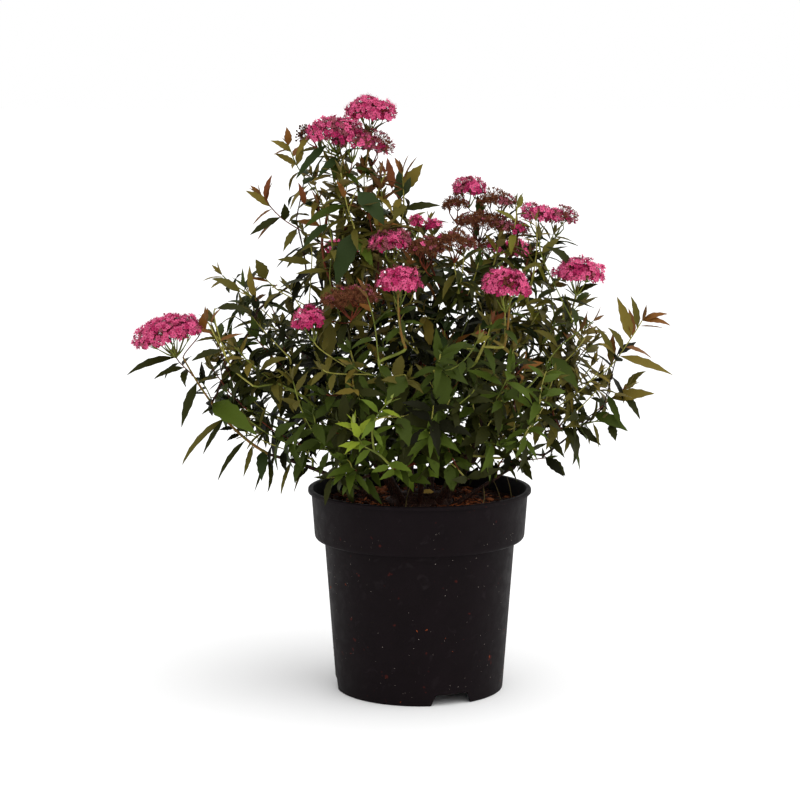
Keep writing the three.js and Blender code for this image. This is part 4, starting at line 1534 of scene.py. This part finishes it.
# ---------------------------------------------------------------- leaves
# Spirea leaves stand singly round the shoot on short stalks: narrow, pointed, toothed,
# folded along the midrib and drooping at the tip. The youngest are bronze, or lime low down.

leaf_stations = 9  # points along each edge of a leaf
rib_stations = (2, 4, 6, 8)  # those of them that have a point on the midrib
keel_stations = (1, 5)  # those that have one below the midrib, on the underside
leaf_thick = 0.01  # of the leaf's length, as are the sizes below
edge_wave = 0.004
stalk_part = 0.07
stalk_half_width = 0.035
tooth_start = 0.22
tooth_out = 1.1  # of the blade's width at the point of a tooth
tooth_in = 0.92  # and between two teeth
pucker_size = 2.38  # mm between the puckers of a leaf's skin
patch_size = 16.7  # mm across the duller patches
turn_step = 144.0  # degrees from one leaf to the next round the shoot
turn_error = 14.0
foot_spread = 90.0  # degrees between the shoot and a leaf at its foot
spread_loss = 54.0  # less at its tip
spread_error = 10.0
leaf_sag = -0.2  # how much a leaf turns down
sag_error = 0.15
young_part = 0.7  # leaves past this share of the shoot have the tint of young leaves
young_forms = (0, 3, 5)
width_shares = (0.82, 1.14)
size_shares = (0.82, 1.15)
bud_form = 5
bud_leaves = 3  # at the very tip of a shoot
bud_spread = 0.35
bud_sizes = (0.4, 0.65)
bud_width = 0.8
bud_lean = 0.4
growing_light = Vector((0.12, -0.35, 0.6))  # leaves turn their upper sides this way as they grow
up_shoot = 0.45  # and up the shoot
out_of_crown = 0.5  # and away from the heart of the crown
facing_error = 0.25
lone_facing = (-0.8, 0.75)  # a leaf that stands alone turns its upper side to the front and up
lowest_in_pot = 195.0  # mm; leaf tips stay out of the compost
lowest_at_lip = 203.0
lowest_outside = 192.0
lip_outside = 10.0  # a tip this near the lip is at the lip, outside it
lip_inside = 13.0  # and inside it
fallen_foot = (14, -8, 196.5)  # a yellowed leaf lies on the woody base
fallen_tip = (-1, -15, 196.5)
fallen_width = 5.0

# width, droop in degrees, fold, twist in degrees, sideways bow
leaf_forms = (
    (0.27, 22, 0.22, 4, 0.02),
    (0.30, 38, 0.16, -8, -0.03),
    (0.24, 52, 0.26, 10, 0.03),
    (0.33, 30, 0.10, -5, 0.00),
    (0.22, 66, 0.20, 6, -0.04),
    (0.28, 10, 0.30, 12, 0.04),
    (0.25, 44, 0.34, -14, 0.02),
    (0.31, 56, 0.14, 3, -0.02),
)

# upper side and underside
tints = {
    # The "deep" tint is painted shade: a near-black green for leaves in the heart of the crown and low
    # under it, where shade falls.
    "deep": ("#151607", "#2a2d1b"),
    "dark": ("#292b0d", "#3b3f22"),
    "teal": ("#283417", "#3d472c"),
    "mid": ("#354012", "#485227"),
    "fresh": ("#425016", "#545f2d"),
    "bright": ("#566720", "#667134"),
    "olive": ("#524c1d", "#5c562f"),
    "khaki": ("#6a5c24", "#716537"),
    "bronze": ("#70481e", "#6b4d2d"),
    "redbronze": ("#683a1f", "#68402b"),
    "moss": ("#64611f", "#6b6935"),
    "lime": ("#7a8828", "#848e46"),
    "straw": ("#b8984e", "#a08c50"),
}


def blade_half_width(t):
    """Half the width of a leaf one unit wide, at a share of its length."""
    if t <= stalk_part:
        return stalk_half_width
    s = (t - stalk_part) / (1 - stalk_part)
    return 1.75 * s**0.7 * (1 - s) ** 1.2 + 0.02 * (1 - s)


def strip(left, right):
    """Triangles between two rows of stations and points that share both of their ends."""
    faces = []
    i, j = 0, 0
    while i + 1 < len(left) or j + 1 < len(right):
        if j + 1 == len(right) or (i + 1 < len(left) and left[i + 1][0] < right[j + 1][0]):
            face = (left[i][1], right[j][1], left[i + 1][1])
            i += 1
        else:
            face = (left[i][1], right[j][1], right[j + 1][1])
            j += 1
        if len(set(face)) == 3:
            faces.append(face)
    return faces


def leaf(width, droop, fold, twist, bow):
    """Points, faces and underside flags of a leaf one unit long that sets out along +Y."""
    points = [Vector((0, 0, 0))]
    middle = Vector((0, 0, 0))
    step = 1 / (leaf_stations + 1)
    left, rib, right, keel = [(0, 0)], [(0, 0)], [(0, 0)], [(0, 0)]
    for k in range(1, leaf_stations + 1):
        t = k * step
        slope = math.radians(-droop) * t**1.3
        middle = middle + Vector((bow * math.cos(math.pi * t), math.cos(slope), math.sin(slope))) * step
        up = Vector((0, -math.sin(slope), math.cos(slope)))
        lean = math.radians(twist) * t
        side = Vector((math.cos(lean), 0, 0)) + up * math.sin(lean)
        half = width * blade_half_width(t)
        if t > tooth_start:
            half *= tooth_out if k % 2 else tooth_in
        wave = up * edge_wave * math.sin(9 * t + droop)
        rise = up * (fold * half)
        left.append((k, len(points)))
        right.append((k, len(points) + 1))
        points += [middle - side * half + rise + wave, middle + side * half + rise - wave]
        if k in rib_stations:
            rib.append((k, len(points)))
            points.append(middle.copy())
        if k in keel_stations:
            keel.append((k, len(points)))
            points.append(middle - up * leaf_thick)
    slope = math.radians(-droop)
    points.append(middle + Vector((0, math.cos(slope), math.sin(slope))) * step)
    for row in (left, rib, right, keel):
        row.append((leaf_stations + 1, len(points) - 1))
    upper = strip(left, rib) + strip(rib, right)
    under = strip(keel, left) + strip(right, keel)
    return points, upper + under, [False] * len(upper) + [True] * len(under)


def sharpen_outline(data, under):
    """Marks the edges of a leaf's mesh between its upper side and its underside as sharp."""
    sides = {}
    for face in data.polygons:
        for key in face.edge_keys:
            sides.setdefault(key, set()).add(under[face.index])
    for edge in data.edges:
        edge.use_edge_sharp = len(sides[edge.key]) == 2


leaf_shapes = bpy.data.collections.new("leaf_shapes")
leaf_chords = []
for i, form in enumerate(leaf_forms):
    points, faces, under = leaf(*form)
    data = bpy.data.meshes.new(f"leaf_{i:02d}")
    data.from_pydata([tuple(p) for p in points], [], faces)
    data.shade_smooth()
    data.attributes.new("underside", "BOOLEAN", "FACE").data.foreach_set("value", under)
    sharpen_outline(data, under)
    leaf_shapes.objects.link(bpy.data.objects.new(f"leaf_{i:02d}", data))
    leaf_chords.append(points[-1])


def leaf_skin(name, colour, gloss):
    """Leaf skin of one tint, puckered between its fine veins, so that its gloss is uneven."""
    material = empty_material(name)
    tree = material.node_tree
    place = add_node(tree, "ShaderNodeTexCoord").outputs["Object"]
    pucker = add_node(
        tree, "ShaderNodeTexNoise", {"Vector": place, "Scale": 1 / (pucker_size * MM), "Detail": 2.0}
    )
    patches = add_node(
        tree, "ShaderNodeTexNoise", {"Vector": place, "Scale": 1 / (patch_size * MM), "Detail": 2.0}
    )
    dullness = add_node(
        tree, "ShaderNodeMapRange", {"Value": patches, "To Min": gloss - 0.15, "To Max": gloss + 0.15}
    )
    relief = add_node(tree, "ShaderNodeBump", {"Height": pucker, "Strength": 0.35, "Distance": 0.0005})
    skin = add_node(
        tree,
        "ShaderNodeBsdfPrincipled",
        {"Base Color": linear(colour), "Roughness": dullness, "Specular IOR Level": 0.07, "Normal": relief},
    )
    add_node(tree, "ShaderNodeOutputMaterial", {"Surface": skin})
    return material


leaves = {tint: [] for tint in tints}


def is_clear(tip):
    """True if a leaf's tip stays out of the compost and off the pot's lip."""
    out = tip.xy.length - lip_radius
    if out > lip_outside:
        return tip.z > lowest_outside
    return tip.z > (lowest_at_lip if out > -lip_inside else lowest_in_pot)


def add_leaf(tint, foot, ahead, upper, length, width_share, form):
    """Notes a leaf, in mm, unless its tip would lie in the compost or on the lip."""
    normal = (upper - ahead * upper.dot(ahead)).normalized()
    side = ahead.cross(normal)
    turn = Matrix((side, ahead, normal)).transposed().to_quaternion()
    tip = foot + turn @ leaf_chords[form] * length
    if not is_clear(tip):
        return
    size = (length * width_share * MM, length * MM, length * MM)
    leaves[tint].append((foot * MM, turn, size, form))


def leaf_from_to(tint, foot, tip, width, rng):
    """A leaf from its foot to its tip, with its upper side turned up and outwards."""
    form = rng.randrange(len(leaf_forms))
    chord = tip - foot
    local = leaf_chords[form]
    slope = math.atan2(local.z, local.y)
    hint = Vector((rng.gauss(0, facing_error), *lone_facing))
    way = chord.normalized()
    normal = (hint - way * hint.dot(way)).normalized()
    ahead = way * math.cos(slope) - normal * math.sin(slope)
    upper = way * math.sin(slope) + normal * math.cos(slope)
    length = chord.length / local.length
    add_leaf(tint, foot, ahead, upper, length, width / length / leaf_forms[form][0], form)


def sideways(way, angle):
    """The direction square to a shoot at an angle round it, in degrees."""
    return Matrix.Rotation(math.radians(angle), 3, way) @ way.orthogonal().normalized()


def size_share(t):
    """The size of a leaf by its place up the shoot: largest in the middle."""
    return 0.72 + 0.42 * math.sin(math.pi * min(1, t * 0.85 + 0.15))


def bud_tuft(path, length, tint, angle, rng):
    """The small young leaves that stand round the tip of a shoot."""
    way = (path[-1] - path[-2]).normalized()
    for k in range(bud_leaves):
        out = sideways(way, 360 / bud_leaves * k + angle)
        ahead = (way + out * bud_spread).normalized()
        size = length * rng.uniform(*bud_sizes)
        add_leaf(tint, path[-1], ahead, way - out * bud_lean, size, bud_width, bud_form)


def dress(owner, count, length, tint, young, bare, rng):
    """Leaves in a spiral up a shoot, smaller and more upright towards its tip."""
    path = limbs[owner]["path"]
    total = lengths(path)[-1]
    angle = rng.uniform(0, 360)
    for k in range(count):
        t = (k + 0.5) / count
        spot, way = along(path, total * (bare + (1 - bare) * t))
        angle += turn_step + rng.gauss(0, turn_error)
        spread = math.radians(foot_spread - spread_loss * t * t + rng.gauss(0, spread_error))
        ahead = way * math.cos(spread) + sideways(way, angle) * math.sin(spread)
        ahead = (ahead + Vector((0, 0, rng.gauss(leaf_sag, sag_error)))).normalized()
        upper = way * up_shoot + (spot - crown_heart).normalized() * out_of_crown + growing_light
        upper += Vector([rng.gauss(0, facing_error) for _ in range(3)])
        size = length * size_share(t) * rng.uniform(*size_shares)
        is_young = t > young_part
        form = rng.choice(young_forms) if is_young else rng.randrange(len(leaf_forms))
        colour = young if is_young else tint
        add_leaf(colour, spot, ahead, upper, size, rng.uniform(*width_shares), form)
    if bare < stalk_bare:
        bud_tuft(path, length, young, angle, rng)


rng = random.Random(17)
for owner, count, length, tint, young, bare in leafy:
    dress(owner, count, length, tint, young, bare, rng)
for foot, (width, tint, _, tip) in zip(lone_feet, lone_leaves):
    leaf_from_to(tint, foot, Vector(tip), width, rng)
leaf_from_to("straw", Vector(fallen_foot), Vector(fallen_tip), fallen_width, rng)

for tint, rows in leaves.items():
    upper_skin = leaf_skin(f"{tint}_leaf", tints[tint][0], 0.5)
    under_skin = leaf_skin(f"{tint}_leaf_underside", tints[tint][1], 0.7)
    spray = set_out(f"leaves_{tint}", setting_out, *zip(*rows), leaf_shapes, (upper_skin, under_skin))
    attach(spray, "root")

# ---------------------------------------------------------------- blossom
# Each head is a low dome of small trusses on forked stalks. An open flower has five round
# petals, a crimson eye and long stamens. It withers to a brown cup that stays on the head.

flower_gap = 4.0  # mm between the flowers, as are the sizes below
old_gap_share = 0.97
flower_reach = 3.2  # of a flower past its place
flower_sizes = (0.82, 1.16)  # as a share of full size
flower_rise = 0.5  # how unevenly flowers stand up from their truss
flower_shift = 0.6  # and beside their places
flower_fan = 0.6  # how much they turn away from the end of their truss's stalk
flower_tilt = 0.5  # how unevenly they face
truss_flowers = 9
truss_radius = 6.0
truss_bulge = 2.8  # how far the middle of a truss stands proud of its edge
truss_unevenness = 2.0
seed_unevenness = 0.3  # of that, in a head that is in seed
stray_share = 0.45  # of the flowers, not of the age of the truss they are in
dome_share = 0.62  # a head's dome, as a share of the head's height
old_dome_share = 0.5
inner_share = 0.6  # flowers deeper in the head, as a share of those on top
old_inner_share = 0.9
inner_depth = 0.88
inner_drop = 2.0
inner_size = 1.1
inner_crowding = 1.5  # over one, more of them are near the crown than near the rim
inner_tilt = 0.8
petal_count = 5
petal_error = 0.1  # of the angle between two petals
cup_error = 0.18
petal_outline = ((0.1, 0), (0.55, 0.5), (1, 0.3), (1, -0.3), (0.55, -0.5))
petal_middle = 0.6  # of its reach
petal_thick = (-0.16, -0.34)  # the middle of a petal's upper side and underside
open_petal = (2.6, 2.1)  # reach and width
open_cups = 0.1  # each of the open forms is this much more cupped than the one before
curled_petal = (2.2, 1.5, 0.75)  # reach, width and cup
withered_petal = (1.9, 1.0, 1.3)
crinkle_size = 1.11
eye_radius = 0.65
eye_heights = (0.5, -0.4)
stamen_count = 6
stamen_spread = (1.5, 2.6)
stamen_rise = (1.5, 2.7)
anther_size = 0.2
bud_size = (0.95, 1.15)  # radius and half the length
capsule_size = (1.2, 1.3)
variants = 6  # of each shape
fork_trusses = 3.5  # trusses on each fork of a head's stalk
fork_reach = 0.5  # how far up from the meeting of the stalks the forks are
fork_radii = (0.96, 0.8, 0.5)  # from the meeting of the stalks up to a fork
stalk_radii = (0.5, 0.425, 0.35)  # from a fork up to a truss
stalk_sag = 0.8
pedicel_thick = 0.2
seed_pedicel_thick = 0.4
stalk_sides = 5

# the share of flowers that are open in a bright tint, open in a deep one, fading, withered,
# in bud and in seed
ages = {
    "fresh": (63, 26, 3, 1, 7, 0),
    "mixed": (36, 18, 32, 12, 2, 0),
    "faded": (6, 16, 34, 44, 0, 0),
    "spent": (1, 2, 15, 82, 0, 0),
    "seed": (0, 0, 0, 10, 0, 90),
}


def ring_of_petals(rng, reach, width, cup):
    """Points and faces of a ring of closed round petals in mm, that face +Z."""
    points, faces = [], []
    corners = len(petal_outline)
    for k in range(petal_count):
        share = (k + rng.uniform(-petal_error, petal_error)) / petal_count
        turn = Matrix.Rotation(2 * math.pi * share, 3, "Z")
        lift = cup + rng.uniform(-cup_error, cup_error)
        first = len(points)
        for x, y in petal_outline:
            points.append(turn @ Vector((x * reach, y * width, lift * x * x * reach)))
        middle = turn @ Vector((petal_middle * reach, 0, lift * petal_middle**2 * reach))
        points += [middle + Vector((0, 0, side)) for side in petal_thick]
        for i in range(corners):
            a, b = first + i, first + (i + 1) % corners
            faces += [(first + corners, b, a), (first + corners + 1, a, b)]
    return points, faces


def ball(radius, length):
    """Points and faces of a small egg."""
    egg = bmesh.new()
    bmesh.ops.create_icosphere(egg, subdivisions=1, radius=radius)
    points = [Vector((v.co.x, v.co.y, v.co.z * length / radius)) for v in egg.verts]
    faces = [[v.index for v in f.verts] for f in egg.faces]
    egg.free()
    return points, faces


def eye():
    """Points and faces of the low disc in the middle of an open flower."""
    points = [Vector((x, y, 0)) * eye_radius for x, y in ((1, 0), (0, 1), (-1, 0), (0, -1))]
    points += [Vector((0, 0, height)) for height in eye_heights]
    sides = [(i, (i + 1) % 4) for i in range(4)]
    return points, [(a, b, 4) for a, b in sides] + [(b, a, 5) for a, b in sides]


def stamens(rng):
    """Points and faces of a flower's stamens: fine threads that end in small anthers."""
    points, faces = [], []
    for k in range(stamen_count):
        a = 2 * math.pi * (k + rng.uniform(-0.2, 0.2)) / stamen_count
        out = Vector((math.cos(a), math.sin(a), 0))
        side = Vector((-out.y, out.x, 0))
        tip = out * rng.uniform(*stamen_spread) + Vector((0, 0, rng.uniform(*stamen_rise)))
        first = len(points)
        points += [out * 0.4, tip + side * 0.09, tip - side * 0.09, tip + out * 0.12]
        faces += [tuple(first + i for i in f) for f in ((0, 1, 3), (0, 3, 2), (0, 2, 1), (1, 2, 3))]
        first = len(points)
        corners = ((1, 1, 1), (-1, -1, 1), (-1, 1, -1), (1, -1, -1))
        points += [tip + Vector(corner) * anther_size for corner in corners]
        faces += [tuple(first + i for i in f) for f in ((0, 2, 1), (0, 1, 3), (0, 3, 2), (1, 2, 3))]
    return points, faces


def petal_skin(name, colour):
    """Petal skin of one tint: matt and velvety, with a faint crinkle."""
    material = empty_material(name)
    tree = material.node_tree
    place = add_node(tree, "ShaderNodeTexCoord").outputs["Object"]
    crinkle_inputs = {"Vector": place, "Scale": 1 / (crinkle_size * MM), "Detail": 2.0}
    crinkle = add_node(tree, "ShaderNodeTexNoise", crinkle_inputs)
    relief = add_node(tree, "ShaderNodeBump", {"Height": crinkle, "Strength": 0.3, "Distance": 0.0003})
    looks = {"Base Color": linear(colour), "Roughness": 0.7, "Specular IOR Level": 0.12, "Normal": relief}
    skin = add_node(tree, "ShaderNodeBsdfPrincipled", looks)
    add_node(tree, "ShaderNodeOutputMaterial", {"Surface": skin})
    return material


def dome_place(foot, up, wide, tall, share, angle):
    """A place on a head's dome and the way out of it. share runs from its crown to its rim."""
    side = up.orthogonal().normalized()
    drop = 1 - share
    ring = math.sqrt(max(0, 1 - drop * drop))
    out = Matrix.Rotation(angle, 3, up) @ side
    place = foot + out * (wide * ring) + up * (tall * drop)
    return place, (out * ring / wide + up * drop / tall).normalized()


def shaken(rng, amount):
    """A small step in any direction."""
    return Vector([rng.gauss(0, amount) for _ in range(3)])


golden = math.pi * (3 - math.sqrt(5))  # radians from each place on a head to the next
flowers = {kind: [] for kind in ("bright", "deep", "fading", "withered", "bud", "seed")}
inner_flowers = {kind: [] for kind in flowers}
stalks = {"green": [], "red": []}


def dome_of(middle, width, height, meeting, is_old):
    """A head's dome: the foot of its axis, the way up, its half-width and its height."""
    up = (middle - meeting).normalized()
    tall = height * (old_dome_share if is_old else dome_share)
    return middle - up * (tall * 0.5), up, width / 2 - flower_reach, tall


def grow_forks(dome, meeting, total, skin, rng):
    """The forks of a head's stalk, each on a branch from where its stalks meet."""
    up = dome[1]
    forks = []
    for i in range(max(2, round(total / fork_trusses))):
        share = min((i + 0.5) * fork_trusses / total, 1)
        place, _ = dome_place(*dome, share, i * golden + rng.uniform(-0.3, 0.3))
        fork = meeting.lerp(place, fork_reach)
        bend = meeting.lerp(fork, 0.5) - up
        stalks[skin].append(([meeting, bend, fork], fork_radii))
        forks.append(fork)
    return forks


def grow_trusses(dome, forks, total, age, skin, rng):
    """The trusses of a head: middle, kind of flower, end of the stalk, and rise over the dome."""
    up, tall = dome[1], dome[3]
    uneven = truss_unevenness * (seed_unevenness if age == "seed" else 1)
    trusses = []
    for i in range(total):
        middle, way = dome_place(*dome, (i + 0.5) / total, i * golden + rng.uniform(-0.2, 0.2))
        kind = rng.choices(list(flowers), ages[age])[0]
        end = middle - way * min(truss_radius, tall * 0.5)
        trusses.append((middle, kind, end, rng.gauss(0, uneven)))
        fork = min(forks, key=lambda fork: (fork - end).length)
        bend = fork.lerp(end, 0.5) - up * stalk_sag
        stalks[skin].append(([fork, bend, end], stalk_radii))
    return trusses


def set_flowers(dome, trusses, count, age, rng):
    """The flowers over a head, each on its own short stalk from the nearest truss."""
    thick = seed_pedicel_thick if age == "seed" else pedicel_thick
    for i in range(count):
        place, way = dome_place(*dome, (i + 0.5) / count, i * golden)
        middle, kind, end, rise = min(trusses, key=lambda truss: (truss[0] - place).length)
        bulge = truss_bulge * (1 - ((place - middle).length / truss_radius) ** 2)
        place = place + way * (rise + bulge + rng.gauss(0, flower_rise)) + shaken(rng, flower_shift)
        if rng.random() < stray_share:
            kind = rng.choices(list(flowers), ages[age])[0]
        way = (way + (place - end).normalized() * flower_fan + shaken(rng, flower_tilt)).normalized()
        size = rng.uniform(*flower_sizes) * MM
        turn = facing(way, rng.uniform(0, full_turn))
        flowers[kind].append((place * MM, turn, (size,) * 3, rng.randrange(variants)))
        stalks["red"].append(([end, place - way * 0.3], [thick, thick]))


def fill_head(dome, count, age, is_old, rng):
    """The flowers deeper in a head, that show between those on top."""
    foot, up, wide, tall = dome
    inner = (foot - up * inner_drop, up, wide * inner_depth, tall * inner_depth)
    for _ in range(round(count * (old_inner_share if is_old else inner_share))):
        share, angle = rng.random() ** inner_crowding, rng.uniform(0, full_turn)
        place, way = dome_place(*inner, share, angle)
        # The inner flowers of a fresh head all take the crimson "deep" tint: painted shade in the gaps
        # between the flowers on top.
        kind = "withered" if is_old else "deep" if age == "fresh" else rng.choice(("deep", "fading"))
        way = (way + shaken(rng, inner_tilt)).normalized()
        turn = facing(way, rng.uniform(0, full_turn))
        inner_flowers[kind].append((place * MM, turn, (inner_size * MM,) * 3, rng.randrange(variants)))


rng = random.Random(29)
for (middle, width, height, _, age), meeting in zip(heads, meetings):
    is_old = age in ("spent", "seed")
    dome = dome_of(Vector(middle), width, height, meeting, is_old)
    wide, tall = dome[2:]
    gap = flower_gap * (old_gap_share if is_old else 1)
    count = max(8, round(math.pi * wide * (wide + 2 * tall) / gap**2))
    total = max(3, round(count / truss_flowers))
    skin = "red" if is_old or age == "faded" else "green"
    forks = grow_forks(dome, meeting, total, skin, rng)
    trusses = grow_trusses(dome, forks, total, age, skin, rng)
    set_flowers(dome, trusses, count, age, rng)
    fill_head(dome, count, age, is_old, rng)

rng = random.Random(31)
open_rings = [ring_of_petals(rng, *open_petal, open_cups * k) for k in range(variants)]
open_petals = shape_set("open_petals", open_rings)
curled_rings = [ring_of_petals(rng, *curled_petal) for _ in range(variants)]
curled_petals = shape_set("curled_petals", curled_rings)
cups = shape_set("cups", [ring_of_petals(rng, *withered_petal) for _ in range(variants)])
eyes = shape_set("eyes", [eye()] * variants)
buds = shape_set("buds", [ball(*bud_size)] * variants)
capsules = shape_set("capsules", [ball(*capsule_size)] * variants)
threads = shape_set("threads", [stamens(rng) for _ in range(variants)])

# Fresh petals are a clear rose pink, or crimson pink just after they open. They brown to a
# dull mauve. The withered cups are red-brown and dry, and the seed capsules nearly black.
pieces = (
    ("petals_bright", "bright", open_petals, petal_skin("rose_pink_petal", "#d65884")),
    ("petals_deep", "deep", open_petals, petal_skin("crimson_pink_petal", "#ab2558")),
    ("petals_fading", "fading", curled_petals, petal_skin("fading_petal", "#96505c")),
    ("withered_cups", "withered", cups, petal_skin("withered_cup", "#6a4028")),
    ("buds", "bud", buds, petal_skin("bud_skin", "#8c3450")),
    ("seed_capsules", "seed", capsules, petal_skin("dry_capsule", "#3a281c")),
)
open_rows = flowers["bright"] + flowers["deep"]
blossom_pieces = []
for name, kind, shapes, skin in pieces:
    rows = flowers[kind] + inner_flowers[kind]
    blossom_pieces.append(set_out(name, setting_out, *zip(*rows), shapes, (skin,)))
eye_rows = open_rows + flowers["fading"]
eye_skin = petal_skin("crimson_eye", "#5a142a")
stamen_skin = petal_skin("stamen_thread", "#b64a78")
blossom_pieces.append(set_out("eyes", setting_out, *zip(*eye_rows), eyes, (eye_skin,)))
blossom_pieces.append(set_out("stamens", setting_out, *zip(*open_rows), threads, (stamen_skin,)))
for piece in blossom_pieces:
    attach(piece, "root")
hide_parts(*blossom_nodes)

# The stalks of the heads are downy and thin, green under fresh flowers and red under old.
for skin, lines in stalks.items():
    fork = tubes(f"head_stalks_{skin}", tube, lines, stalk_sides, stalk_skins[skin])
    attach(fork, "root")

# ---------------------------------------------------------------- finish
# The box round all that shows, the floor left out.

low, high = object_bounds()
